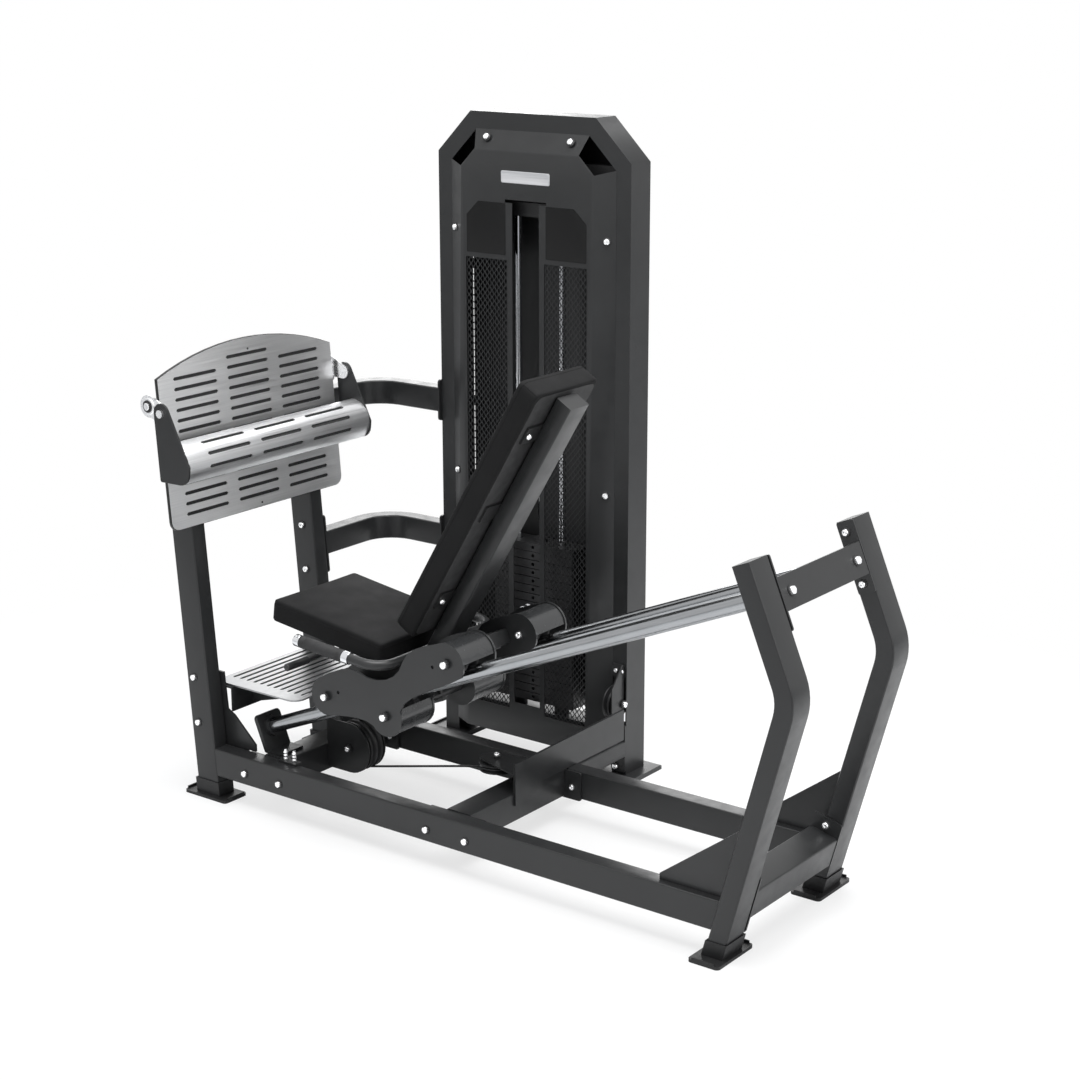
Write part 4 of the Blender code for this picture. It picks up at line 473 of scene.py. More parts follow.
def weigh_normals(thing):
    """Let large faces decide the normals at their corners."""
    weigh = thing.modifiers.new("flat_faces", "WEIGHTED_NORMAL")
    weigh.keep_sharp = True
    weigh.weight = LARGE_FACES_LEAD


def merged_copy(name):
    """A piece with the node's own shape, its triangles joined and its bends smooth."""
    mesh = NODES[name].data.copy()
    bm = bmesh.new()
    bm.from_mesh(mesh)
    bmesh.ops.remove_doubles(bm, verts=bm.verts, dist=MERGE_DISTANCE)
    bmesh.ops.dissolve_limit(bm, angle_limit=FLAT_ANGLE, verts=bm.verts, edges=bm.edges)
    bm.to_mesh(mesh)
    bm.free()
    shade_by_angle(mesh)
    piece = link(bpy.data.objects.new(name + "_skin", mesh))
    weigh_normals(piece)
    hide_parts(name)
    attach(piece, BODY_OF[name])
    return piece


UNCHANGED = {"seat_pad", "back_pad", "cable", "stack_cable"}
skins = {name: merged_copy(name) for name in NODES if name not in UNCHANGED}
print("smooth copies:", len(skins), "faces", sum(len(s.data.polygons) for s in skins.values()))


# %% The wheel covers' painted sheen
def second_finish(name, material, chosen):
    """Give the chosen faces of a merged copy another material, and count them."""
    skins[name].data.materials.append(material)
    faces = [face for face in skins[name].data.polygons if chosen(face)]
    for face in faces:
        face.material_index = 1
    return len(faces)


# the covers' faces that don't face sideways get the paler coat, a painted sheen on their rims
sled_plates = [name for name in skins if name.startswith("sled_plate")]
print("cover faces:", sum(second_finish(name, SATIN_PAINTED_SHEEN_COAT, lambda face: abs(face.normal.y) < COVER_FACES_TURN)
                          for name in sled_plates))

# %% [markdown]
# ## Shapes to build with
# Most hardware comes down to three forms: something turned on a lathe, a bar bent along a line,
# and a flat plate cut to an outline. Blender has Spin, a curve's bevel and Solidify for these.
# Plain bmesh code does the same with fewer surprises: it closes every form, and points its
# faces outwards at once.


# %% Turned forms, bent bars and plates
def take_mesh(name, bm):
    """The bmesh as a mesh with its faces outwards; the bmesh is freed."""
    bmesh.ops.recalc_face_normals(bm, faces=bm.faces)
    mesh = bpy.data.meshes.new(name)
    bm.to_mesh(mesh)
    bm.free()
    return mesh


def new_piece(name, bm, material, body, sharp=SHARP_DEGREES):
    """Close a bmesh into a piece that rides on a body, or on none."""
    mesh = take_mesh(name, bm)
    mesh.materials.append(material)
    shade_by_angle(mesh, sharp)
    piece = link(bpy.data.objects.new(name, mesh))
    if body:
        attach(piece, body)
    return piece


def ring_skin(bm, rings, closed_ends=True):
    """Faces between rings of equal count, with a lid on the first and the last."""
    rows = [[bm.verts.new(point) for point in ring] for ring in rings]
    count = len(rows[0])
    for row, following in zip(rows, rows[1:]):
        for i in range(count):
            j = (i + 1) % count
            bm.faces.new((row[i], row[j], following[j], following[i]))
    if closed_ends:
        bm.faces.new(rows[0])
        bm.faces.new(rows[-1])


def circle_around(centre, axis, radius, steps):
    axis = Vector(axis).normalized()
    arm = axis.orthogonal().normalized() * radius
    return [Vector(centre) + Matrix.Rotation(2 * math.pi * i / steps, 3, axis) @ arm for i in range(steps)]


def turned(bm, start, axis, profile, steps=32):
    """A lathe form from (distance along the axis, radius) pairs."""
    axis = Vector(axis).normalized()
    ring_skin(bm, [circle_around(Vector(start) + axis * along, axis, radius, steps)
                   for along, radius in profile])


def bent_bar(bm, path, radius, steps=16, closed=False):
    """A round bar along a list of points; a closed one joins its own start."""
    rings, up, count = [], None, len(path)
    for i, point in enumerate(path):
        before = path[i - 1] if closed or i else point
        after = path[(i + 1) % count] if closed or i + 1 < count else point
        ahead = (after - before).normalized()
        up = ahead.orthogonal().normalized() if up is None else (up - ahead * up.dot(ahead)).normalized()
        side = ahead.cross(up)
        rings.append([point + (up * math.cos(a) + side * math.sin(a)) * radius
                      for a in (2 * math.pi * k / steps for k in range(steps))])
    ring_skin(bm, rings + rings[:1] if closed else rings, closed_ends=not closed)


def flat_plate(bm, outline, thick, lay, holes=()):
    """A plate from an outline in (u, v): lay turns (u, v, w) into a place, w runs over thick."""
    loops = [list(outline)] + [list(hole) for hole in holes]
    flat = [point for loop in loops for point in loop]
    low, high = ([bm.verts.new(lay(u, v, w)) for u, v in flat] for w in thick)
    for tri in tessellate_polygon([[Vector((u, v, 0)) for u, v in loop] for loop in loops]):
        bm.faces.new([low[i] for i in tri])
        bm.faces.new([high[i] for i in reversed(tri)])
    start = 0
    for loop in loops:
        for i in range(len(loop)):
            a, b = start + i, start + (i + 1) % len(loop)
            bm.faces.new((low[a], low[b], high[b], high[a]))
        start += len(loop)


def arc(centre, radius, start, end, steps):
    """Points of an arc in a plane, with its angles in degrees."""
    angles = [math.radians(start + (end - start) * i / steps) for i in range(steps + 1)]
    return [(centre[0] + radius * math.cos(a), centre[1] + radius * math.sin(a)) for a in angles]


def round_corners(corners, radius, steps=5):
    """A closed outline with every corner rounded."""
    points = []
    for i, corner in enumerate(corners):
        here = Vector(corner)
        before = (Vector(corners[i - 1]) - here).normalized()
        after = (Vector(corners[(i + 1) % len(corners)]) - here).normalized()
        half = before.angle(after) / 2
        centre = here + (before + after).normalized() * radius / math.sin(half)
        first = here + before * (radius / math.tan(half)) - centre
        turn = first.angle_signed(here + after * (radius / math.tan(half)) - centre)
        points += [tuple(centre + Matrix.Rotation(-turn * k / steps, 2) @ first) for k in range(steps + 1)]
    return points


# %% [markdown]
# ## Places on the leaning parts
# Rails, cushions and foot plate each lean at their own angle. Writing their details along the
# part, so far up it and so far out of it, is easier than in metres of the room.

# %% Leaning frames
RAIL_TILT = math.radians(22.8)
RAIL_ORIGIN = (0.845, 0.503)
SEAT_TILT = math.radians(7.8)
SEAT_FRONT_TOP = (0.177, 0.579)
BACK_LEAN = math.radians(30.8)
BACK_LOW_FRONT = (0.577, 0.5796)
FRONT_LEAN = math.radians(4.6)
PLATE_LOW_Z = 0.7737
PLATE_FOOT_X = -0.002 - PLATE_LOW_Z * math.tan(FRONT_LEAN) + 0.040 / math.cos(FRONT_LEAN)


def tilted(origin, angle):
    """A frame for (u, y, v): u runs along the part and v stands square on it."""
    along = Vector((math.cos(angle), 0, math.sin(angle)))
    out = Vector((-math.sin(angle), 0, math.cos(angle)))
    start = at(origin[0], 0, origin[1])
    return lambda u, y, v: start + along * u + out * v + Vector((0, y, 0))


on_rail = tilted(RAIL_ORIGIN, RAIL_TILT)
on_seat = tilted(SEAT_FRONT_TOP, -SEAT_TILT)
on_back = tilted(BACK_LOW_FRONT, math.pi / 2 - BACK_LEAN)
on_foot_plate = tilted((PLATE_FOOT_X, PLATE_LOW_Z), math.pi / 2 + FRONT_LEAN)
RAIL_AXIS = on_rail(1, 0, 0) - on_rail(0, 0, 0)
FOOT_PLATE_OUT = -(on_foot_plate(0, 0, 1) - on_foot_plate(0, 0, 0))
print("rails climb", round(math.degrees(math.asin(RAIL_AXIS.z)), 1), "degrees")

# %% [markdown]
# ## Geometry Nodes as a recipe
# What repeats, such as holes and bolts, comes from Geometry Nodes: one unit is described once
# and set down many times. `Pattern` builds such a tree with named inputs for its sizes, sets
# them on the modifier by their identifiers, and keeps the evaluated result as a plain mesh, so
# that nothing depends on the tree later.


# %% Pattern
def evaluated_mesh(thing):
    """What an object's modifiers make of it, as a plain mesh; the modifiers are removed."""
    graph = bpy.context.evaluated_depsgraph_get()
    mesh = bpy.data.meshes.new_from_object(thing.evaluated_get(graph))
    thing.modifiers.clear()
    return mesh


class Pattern(Finish):
    """A Geometry Nodes tree with named sizes. node() and the sums work as in a finish."""

    def __init__(self, name, material, **sizes):
        self.name, self.material, self.sizes = name, material, sizes
        self.tree = bpy.data.node_groups.new(name, "GeometryNodeTree")
        face = self.tree.interface
        face.new_socket(name="Geometry", in_out="INPUT", socket_type="NodeSocketGeometry")
        self.sockets = {key: face.new_socket(name=key, in_out="INPUT", socket_type="NodeSocketFloat")
                        for key in sizes}
        face.new_socket(name="Geometry", in_out="OUTPUT", socket_type="NodeSocketGeometry")
        self.start = self.tree.nodes.new("NodeGroupInput")

    def given(self, key):
        """One of the tree's inputs."""
        return Signal(self, self.start.outputs[key])

    def vector(self, x=0.0, y=0.0, z=0.0):
        return self.node("ShaderNodeCombineXYZ", {}, {0: x, 1: y, 2: z})

    def join(self, *parts):
        joined = self.tree.nodes.new("GeometryNodeJoinGeometry")
        for part in parts:
            self.tree.links.new(part.socket, joined.inputs[0])
        return Signal(self, joined.outputs[0])

    def end(self, geometry):
        """Close the tree: real geometry, one material."""
        real = self.node("GeometryNodeRealizeInstances", {}, {0: geometry})
        painted = self.node("GeometryNodeSetMaterial", {}, {"Geometry": real})
        painted.socket.node.inputs["Material"].default_value = self.material
        self.plug(painted, self.tree.nodes.new("NodeGroupOutput").inputs[0])

    def make(self, name, body, mesh, lay=None, sharp=SHARP_DEGREES):
        """Run the tree on a mesh and keep what comes out as a piece."""
        seed = link(bpy.data.objects.new(name + "_seed", mesh))
        run = seed.modifiers.new("pattern", "NODES")
        run.node_group = self.tree
        for key, value in self.sizes.items():
            run[self.sockets[key].identifier] = float(value)
        result = evaluated_mesh(seed)
        bpy.data.objects.remove(seed, do_unlink=True)
        for face in result.polygons:
            face.material_index = 0
        result.materials.clear()
        result.materials.append(self.material)
        if lay:
            result.transform(lay)
        shade_by_angle(result, sharp)
        piece = link(bpy.data.objects.new(name, result))
        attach(piece, body)
        return piece


# %% [markdown]
# ## Perforated sheet
# The two long windows beside the selector slot are steel sheet punched with upright diamonds in
# staggered rows, so that the user sees the plates move but can't reach them. A texture could
# fake the holes, but it would show no depth and nothing behind them. Here one diamond-shaped
# tile has a diamond hole; two grids of tiles, the second moved by half a pitch both ways,
# close into one sheet. Only then does the sheet get its thickness, so no walls hide inside.

# %% The punched sheet's recipe
PITCH_ACROSS = 0.0163
PITCH_UP = 0.0195
HOLE_WIDE = 0.0115
HOLE_TALL = 0.0184
PUNCHED_THICK = 0.0015


def punched_sheet(columns, rows):
    tree = Pattern("punched_sheet", COAT, Across=PITCH_ACROSS, Up=PITCH_UP, Hole_wide=HOLE_WIDE,
                   Hole_tall=HOLE_TALL, Thick=PUNCHED_THICK)
    across, up = tree.given("Across"), tree.given("Up")

    def diamond(wide, tall):
        ring = tree.node("GeometryNodeCurvePrimitiveCircle", {}, {"Resolution": 4, "Radius": 1.0})
        return tree.node("GeometryNodeTransform", {},
                         {"Geometry": ring, "Scale": tree.vector(wide * 0.5, tall * 0.5, 1.0)})

    both = tree.join(diamond(across, up), diamond(tree.given("Hole_wide"), tree.given("Hole_tall")))
    tile = tree.node("GeometryNodeFillCurve", {}, {"Curve": both})
    fields = []
    # both grids are centred, so one column and one row less moves the second by half a pitch
    for wide, tall in ((columns, rows), (columns - 1, rows - 1)):
        grid = tree.node("GeometryNodeMeshGrid", {}, {
            "Size X": across * (wide - 1), "Size Y": up * (tall - 1), "Vertices X": wide, "Vertices Y": tall})
        fields.append(tree.node("GeometryNodeInstanceOnPoints", {}, {"Points": grid, "Instance": tile}))
    flat = tree.node("GeometryNodeRealizeInstances", {}, {0: tree.join(*fields)})
    sheet = tree.node("GeometryNodeMergeByDistance", {}, {"Geometry": flat, "Distance": 0.00005})
    raised = tree.node("GeometryNodeExtrudeMesh", {}, {"Mesh": sheet, "Offset Scale": tree.given("Thick"),
                                                       "Individual": False})
    underside = tree.node("GeometryNodeFlipFaces", {}, {"Mesh": sheet})
    tree.end(tree.node("GeometryNodeMergeByDistance", {},
                       {"Geometry": tree.join(raised, underside), "Distance": 0.00005}))
    return tree


# %% [markdown]
# ## The tower's front cover
# The cover is a shallow formed tray with two windows. The CAD node has its form but no windows,
# so a merged copy gets them by a Boolean, which is exact on such flat sheet, and the punched
# sheets go in right behind them.

# %% Windows and punched sheets
COVER_FACE_Y = 0.517
COVER_SHEET = 0.0025
WINDOWS = ((0.3087, 0.4536), (0.5809, 0.7250))
WINDOW_LOW_Z = 0.133
WINDOW_TOP_Z = 1.440


def carve(piece, bm):
    """Take closed forms away from a piece by a Boolean, and shade it afresh."""
    cutter = link(bpy.data.objects.new("cutter", take_mesh("cutter", bm)))
    piece.modifiers.clear()
    step = piece.modifiers.new("cut", "BOOLEAN")
    step.operation, step.solver, step.object = "DIFFERENCE", "EXACT", cutter
    piece.data = evaluated_mesh(piece)
    bpy.data.objects.remove(cutter, do_unlink=True)
    shade_by_angle(piece.data)
    weigh_normals(piece)


def block(bm, low, high, lay=at):
    """A box between two corners of the drawing, or of a leaning frame."""
    ring_skin(bm, [[lay(x, y, z) for x, y in rectangle(*low[:2], *high[:2])] for z in (low[2], high[2])])


bm = bmesh.new()
for low, high in WINDOWS:
    block(bm, (low, COVER_FACE_Y - 0.004, WINDOW_LOW_Z), (high, COVER_FACE_Y + 0.006, WINDOW_TOP_Z))
carve(skins["front_cover"], bm)
columns = math.ceil((WINDOWS[0][1] - WINDOWS[0][0]) / PITCH_ACROSS) + 2
rows = math.ceil((WINDOW_TOP_Z - WINDOW_LOW_Z) / PITCH_UP) + 2
recipe = punched_sheet(columns, rows)
for (side, sign), (low, high) in zip(SIDES, WINDOWS):
    middle = at((low + high) / 2, COVER_FACE_Y + COVER_SHEET + 0.0002, (WINDOW_LOW_Z + WINDOW_TOP_Z) / 2)
    stand = Matrix.Translation(middle) @ Matrix.Rotation(math.radians(90), 4, "X")
    stand = stand @ Matrix.Translation((0, 0, -PUNCHED_THICK))
    panel = recipe.make("punched_panel_" + side, "frame", bpy.data.meshes.new("empty"), stand)
    print(panel.name, len(panel.data.polygons), "faces,", columns, "by", rows, "holes and as many between")

# %% [markdown]
# ## Nameplate and placards
# Above the slot sits a thin bright plate, and over each window a black placard with a cut
# corner. On the real machine they carry words and pictures; here they stay bare. A bare plate
# still shows how it is made: rounded corners, a raised rim where the sheet is pressed and a
# finish of its own.

# %% Thin plates on the cover
PLATE_PROUD = 0.0012
RIM = 0.0035


def on_cover(u, v, w):
    """A place on the cover's face: u along X, v up, w out of it."""
    return at(u, COVER_FACE_Y - w, v)


def pressed_plate(name, outline, material, proud=PLATE_PROUD, rim=RIM):
    """A plate whose rim stands a little over its field."""
    bm = bmesh.new()
    centre = [sum(axis) / len(outline) for axis in zip(*outline)]
    reach = [max(abs(c - m) for c in axis) for axis, m in zip(zip(*outline), centre)]

    def inset(distance):
        return [[m + (c - m) * (1 - distance / r) for c, m, r in zip(point, centre, reach)]
                for point in outline]

    rings = ((0, 0.0002), (0, proud * 0.7), (rim * 0.25, proud), (rim * 0.75, proud), (rim, proud * 0.72))
    ring_skin(bm, [[on_cover(u, v, w) for u, v in inset(distance)] for distance, w in rings])
    return new_piece(name, bm, material, "frame", 35)


placard_black = Finish("placard_black", (0.0050, 0.0050, 0.0052), 0.45, Specular_IOR_Level=0.2)
placard_black.set(Roughness=placard_black.clouds(35.0, 2.0, 0.40, 0.50))
NAMEPLATE_FINISH = brushed_steel("brushed_nameplate", (5.0, 40.0, 1500.0), (0.62, 0.625, 0.64))
NAMEPLATE_HALF, NAMEPLATE_LOW_Z, NAMEPLATE_TOP_Z = 0.0827, 1.6524, 1.6853
PLACARD = ((0.069, 1.4537), (0.205, 1.4537), (0.205, 1.558), (0.164, 1.597), (0.069, 1.597))
nameplate = rectangle(TOWER_X - NAMEPLATE_HALF, NAMEPLATE_LOW_Z, TOWER_X + NAMEPLATE_HALF, NAMEPLATE_TOP_Z)
pressed_plate("nameplate", round_corners(nameplate, 0.005), NAMEPLATE_FINISH)
for side, sign in SIDES:
    corners = [(TOWER_X + sign * u, v) for u, v in PLACARD]
    pressed_plate("placard_" + side, round_corners(corners if sign > 0 else corners[::-1], 0.003, 3),
                  placard_black.material, PLATE_PROUD * 0.75, 0.0025)
print("bare plates on the cover:", 1 + len(SIDES))

# %% [markdown]
# ## Bolts
# Seventy-six bright button heads hold the machine together, each on a washer whose black is
# painted shade, the ring of shadow round the head. One head is turned once, with a real hexagon
# socket, and one washer, both as a few dozen faces.
# Geometry Nodes then put a copy on every point of a list: the point carries the way the bolt
# looks and its size as attributes. Linked duplicates would leave eighty objects to look after.

# %% One bolt
BOLT_STEPS = 24
HEAD = ((0.0012, 0.0090), (0.0052, 0.0090), (0.0078, 0.0078), (0.0092, 0.0050))
SOCKET = ((0.0092, 0.0036), (0.0062, 0.0036))
WASHER = ((0.0, 0.0120), (0.0012, 0.0120), (0.0017, 0.0114), (0.0017, 0.0080))


def rings_around(profile, reach_at=lambda angle: 1):
    """Rings around Z from (height, radius) pairs; reach_at(angle) is their reach for a radius of 1."""
    angles = [2 * math.pi * i / BOLT_STEPS for i in range(BOLT_STEPS)]
    return [[Vector((radius * reach_at(a) * math.cos(a), radius * reach_at(a) * math.sin(a), height))
             for a in angles] for height, radius in profile]


def hexagon(angle):
    return 1 / math.cos((angle + math.pi / 6) % (math.pi / 3) - math.pi / 6)


def unit_object(name, rings):
    bm = bmesh.new()
    ring_skin(bm, rings)
    return link(bpy.data.objects.new(name, take_mesh(name, bm)))


def bolt_pattern(name, unit, material):
    tree = Pattern(name, material, Size=1.0)
    made = tree.node("GeometryNodeObjectInfo", {}, {"Object": unit}, "Geometry")
    facing, scale = (tree.node("GeometryNodeInputNamedAttribute", {"data_type": kind}, {"Name": key})
                     for kind, key in (("FLOAT_VECTOR", "facing"), ("FLOAT", "scale")))
    turn = tree.node("FunctionNodeAlignRotationToVector", {"axis": "Z"}, {"Vector": facing})
    sized = scale * tree.given("Size")
    tree.end(tree.node("GeometryNodeInstanceOnPoints", {}, {
        "Points": tree.given("Geometry"), "Instance": made, "Rotation": turn,
        "Scale": tree.vector(sized, sized, sized)}))
    return tree


# %% Where the bolts sit
POST_FACE, FLANGE_FACE, REAR_FLANGE_FACE = 0.2575, 0.2012, 0.1872
REAR_LEAN = math.radians(15)
X_AXIS, Y_AXIS, Z_AXIS = Vector((1, 0, 0)), Vector((0, 1, 0)), Vector((0, 0, 1))
COVER_SLOPE = Vector((0, -0.884, 0.468))
COVER_FLANK = Vector((0.4496, -0.893, 0))
BACK_OUT = on_back(0, 0, 1) - on_back(0, 0, 0)
SEAT_OUT = on_seat(0, 0, 1) - on_seat(0, 0, 0)


def front_axis(z):
    """The middle of a front post at a height."""
    return -0.002 - z * math.tan(FRONT_LEAN)


def frame_bolts():
    """(place, direction, size) of every bolt that stays with the frame."""
    places = []

    def bolt(place, out, size=1.0):
        places.append((place, out, size))

    for side, sign in SIDES:
        out = Y_AXIS * sign
        # base rails, front posts, rear posts, the rails' end bracket and the front cover
        for x in (0.1397, 0.2668, 0.7824, 0.9105):
            bolt(at(x, sign * POST_FACE, 0.100), out)
            bolt(at(x, sign * FLANGE_FACE, 0.099), -out, 0.9)
        for z in (0.341, 0.212):
            bolt(at(front_axis(z) - 0.0115, sign * POST_FACE, z), out)
        for up in (0.077, 0.195):
            x, z = 1.6445 + up * math.sin(REAR_LEAN), up * math.cos(REAR_LEAN) + 0.004
            bolt(at(x, sign * REAR_FLANGE_FACE, z), -out)
        for h in (0.068, -0.061):
            bolt(on_rail(0.978, sign * REAR_FLANGE_FACE, h), -out)
        bolt(on_rail(1.0052, sign * 0.1487, 0), RAIL_AXIS, 1.15)
        bolt(at(TOWER_X + sign * 0.1425, 0.5317, 1.7707), COVER_SLOPE)
        for z in (1.5156, 0.8165):
            bolt(at(TOWER_X + sign * 0.259, 0.5361, z), Vector((sign * COVER_FLANK.x, COVER_FLANK.y, 0)))
    # the two braces, at the front post and at the tower
    for middle in (0.606, 1.010):
        for z in (middle + 0.065, middle - 0.065):
            bolt(at(front_axis(z), 0.2075, z), -Y_AXIS)
            bolt(at(front_axis(z), 0.2638, z), Y_AXIS)
        for z in (middle + 0.046, middle - 0.046):
            bolt(at(0.1830, 0.584, z), -X_AXIS, 0.9)
    # the tower's foot, then the axles of the tower's, the front and the flat pulley
    for z in (0.133, 0.030):
        bolt(at(0.8155, 0.5409, z), -Y_AXIS)
    for x in (0.815, 0.834):
        bolt(at(x, 0.5409, 0.317), -Y_AXIS, 0.7)
    bolt(at(0.8415, 0.540, 0.221), X_AXIS)
    for sign in (-1, 1):
        bolt(at(0.324, sign * 0.042, 0.148), Y_AXIS * sign, 0.9)
    bolt(at(0.771, 0.0525, 0.203), Z_AXIS, 0.9)
    return places


def sled_bolts():
    places = []
    for side, sign in SIDES:
        for s, h in ((-0.449, 0.0453), (-0.004, 0.0453), (-0.265, -0.0453)):
            places.append((on_rail(s, sign * 0.2250, h), Y_AXIS * sign, 1.1))
            places.append((on_rail(s, sign * 0.0838, h), -Y_AXIS * sign, 1.1))
        places += [(on_back(u, sign * 0.088, -0.0705), -BACK_OUT, 0.9) for u in (0.130, 0.680)]
        places += [(on_seat(u, sign * 0.085, -0.0665), -SEAT_OUT, 0.9) for u in (0.075, 0.300)]
    return places


# %% Set the bolts down
def points_mesh(places):
    """A mesh of single points that carry where each bolt looks and how big it is."""
    mesh = bpy.data.meshes.new("bolt_points")
    mesh.from_pydata([place for place, facing, size in places], [], [])
    mesh.attributes.new("facing", "FLOAT_VECTOR", "POINT")
    mesh.attributes.new("scale", "FLOAT", "POINT")
    for i, (place, facing, size) in enumerate(places):
        mesh.attributes["facing"].data[i].vector = facing
        mesh.attributes["scale"].data[i].value = size
    return mesh


head = rings_around(HEAD) + rings_around(SOCKET, hexagon)
# the washers wear the black rubber: painted shade, the ring of shadow round each bolt head
for kind, rings, material in (("bolts", head, ZINC), ("washers", rings_around(WASHER), RUBBER_AND_PAINTED_SHADE)):
    unit = unit_object(kind + "_unit", rings)
    recipe = bolt_pattern(kind, unit, material)
    for body, places in (("frame", frame_bolts()), ("sled", sled_bolts())):
        made = recipe.make(kind + "_" + body, body, points_mesh(places), sharp=38)
        print(made.name, len(places), "pieces,", len(made.data.polygons), "faces")
    bpy.data.objects.remove(unit, do_unlink=True)

# %% [markdown]
# ## The calf roller
# The roller is one solid in the drawing, but two finishes on the machine: brushed sheet for the
# half-round shell and black coat for its arms. Splitting the solid isn't needed. Faces choose
# their material by where they lie, and a black liner inside the shell keeps the slots dark, as
# the real one's foam core does. The lugs that carry it get the large washers of their bolts, each
# with a thin black ring on it, painted shade for the shadow line there.

# %% Two finishes on one solid
ARM_INNER_Y = 0.3534
ROLLER_CENTRE = (0.020, 0.965)
ROLLER_RADIUS = 0.060
LUG_FRONT = (-0.0655, 1.1135)


def upright(u, v, w):
    """A place for plates that are drawn from the side: u along X, v up, w across."""
    return at(u, w, v)


def on_arm(face):
    return abs(face.center.y - SHIFT.y) > ARM_INNER_Y - 0.0009


print("arm faces:", second_finish("calf_roller", COAT, on_arm))
bm = bmesh.new()
liner = (arc(ROLLER_CENTRE, ROLLER_RADIUS - 0.0045, -44, 92, 20)
         + arc(ROLLER_CENTRE, ROLLER_RADIUS - 0.012, 92, -44, 20))
flat_plate(bm, liner, (-ARM_INNER_Y + 0.001, ARM_INNER_Y - 0.001), upright)
new_piece("roller_liner", bm, RUBBER_AND_PAINTED_SHADE, "calf_roller")

# %% Washers on the lugs
bm, painted_shade_rings = bmesh.new(), bmesh.new()
for side, sign in SIDES:
    outside = Y_AXIS * sign
    seat = at(LUG_FRONT[0], sign * 0.3532, LUG_FRONT[1])
    turned(bm, seat, outside, [(0, 0.0225), (0.0022, 0.0225), (0.0030, 0.0217), (0.0030, 0.0098),
                               (0.0078, 0.0098), (0.0088, 0.0088)])
    # a thin black ring on each washer: painted shade for the shadow line round it
    turned(painted_shade_rings, seat, outside, [(0.0026, 0.0168), (0.0036, 0.0168), (0.0040, 0.0160)])
    turned(bm, at(LUG_FRONT[0], sign * 0.3470, LUG_FRONT[1]), -outside,
           [(0, 0.0150), (0.0060, 0.0150), (0.0070, 0.0138)])
new_piece("lug_washers", bm, ZINC, "frame", 35)
new_piece("lug_seals", painted_shade_rings, RUBBER_AND_PAINTED_SHADE, "frame", 35)

# %% [markdown]
# ## Small fixings
# A pair of stop studs stands on a short plate over each base rail, in front of the rail's
# socket, and two flat screws hold the tread to the foot plate. Three rings, one over another,
# are turned on one axis for each stud, and the screws are plain dark discs.

# %% Studs and screws
STUD_RING, STUD_NECK = 0.0062, 0.0044
STUD_PLACES = ((0.2505, 0.2103), (0.2792, 0.2074))
STUD_PLATE = (0.233, 0.197, 0.297, 0.2235)
STUD_PLATE_TOP = 0.1523
TREAD_SCREWS = (0.0125, 0.4425)

profile = []
for k in range(3):
    foot = 0.009 * k
    profile += [(foot, STUD_RING - 0.0006), (foot + 0.0008, STUD_RING), (foot + 0.0066, STUD_RING),
                (foot + 0.0074, STUD_RING - 0.0006), (foot + 0.0075, STUD_NECK), (foot + 0.0089, STUD_NECK)]
profile += [(0.0300, STUD_NECK - 0.0004), (0.0306, STUD_NECK - 0.0014)]
studs, plates, screws = bmesh.new(), bmesh.new(), bmesh.new()
for side, sign in SIDES:
    for x, y in STUD_PLACES:
        turned(studs, at(x, sign * y, STUD_PLATE_TOP), Z_AXIS, profile)
    flat_plate(plates, round_corners(rectangle(*STUD_PLATE), 0.003), (STUD_PLATE_TOP - 0.006, STUD_PLATE_TOP),
               lambda u, v, w: at(u, sign * v, w))
for up in TREAD_SCREWS:
    turned(screws, on_foot_plate(up, 0.005, -0.0106), FOOT_PLATE_OUT,
           [(0, 0.0030), (0.0010, 0.0030), (0.0014, 0.0024)])
new_piece("stop_studs", studs, ZINC, "frame", 40)
new_piece("stud_plates", plates, COAT, "frame", 40)
new_piece("tread_screws", screws, RUBBER_AND_PAINTED_SHADE, "frame", 40)

# %% [markdown]
# ## Hand grips
# The user holds the two front ends of the bar beside the seat. A soft black sleeve is pushed
# over the bar, closed in front by a bright cap, and held at the back by a bright ring. The
# sleeve is turned with shallow rings near its ends, where a real one is moulded to stop the
# hand; its fine knurl is small enough to be left to the bump of the rubber.

# %% Sleeves, caps and rings
HANDLE_Y = 0.240
HANDLE_RADIUS = 0.0135
HANDLE_FRONT = (0.3345, 0.517)
HANDLE_BEND = (0.620, 0.495)
GRIP_START, GRIP_END = 0.0175, 0.1660
RIDGE_STEP, RIDGE_DEEP = 0.004, 0.0009
RING_LENGTH = 0.020


def sleeve(bm, start, way, profile, inner):
    """A turned tube: the profile outside and a plain bore inside."""
    rings = [circle_around(start + way * along, way, radius, 32) for along, radius in profile]
    rings += [circle_around(start + way * along, way, inner, 32) for along in (profile[-1][0], profile[0][0])]
    ring_skin(bm, rings + [rings[0]], closed_ends=False)


swell, cap, bore = HANDLE_RADIUS + 0.0032, HANDLE_RADIUS + 0.0030, HANDLE_RADIUS + 0.0002
outside = [(GRIP_START, swell - 0.0012), (GRIP_START + 0.0012, swell)]
for first in (GRIP_START + 0.007, GRIP_END - 0.017):
    for ridge in (first + RIDGE_STEP * k for k in range(3)):
        outside += [(ridge, swell), (ridge + 0.0006, swell - RIDGE_DEEP),
                    (ridge + 0.0014, swell - RIDGE_DEEP), (ridge + 0.0020, swell)]
outside += [(GRIP_END - 0.0012, swell), (GRIP_END, swell - 0.0012)]
front_cap = [(-0.0040, cap - 0.0040), (-0.0030, cap - 0.0012), (-0.0012, cap), (GRIP_START - 0.0005, cap)]
end_ring = [(GRIP_END + 0.0003, cap - 0.0006), (GRIP_END + 0.0010, cap), (GRIP_END + RING_LENGTH, cap),
            (GRIP_END + RING_LENGTH + 0.0008, cap - 0.0006)]
grips, bright = bmesh.new(), bmesh.new()
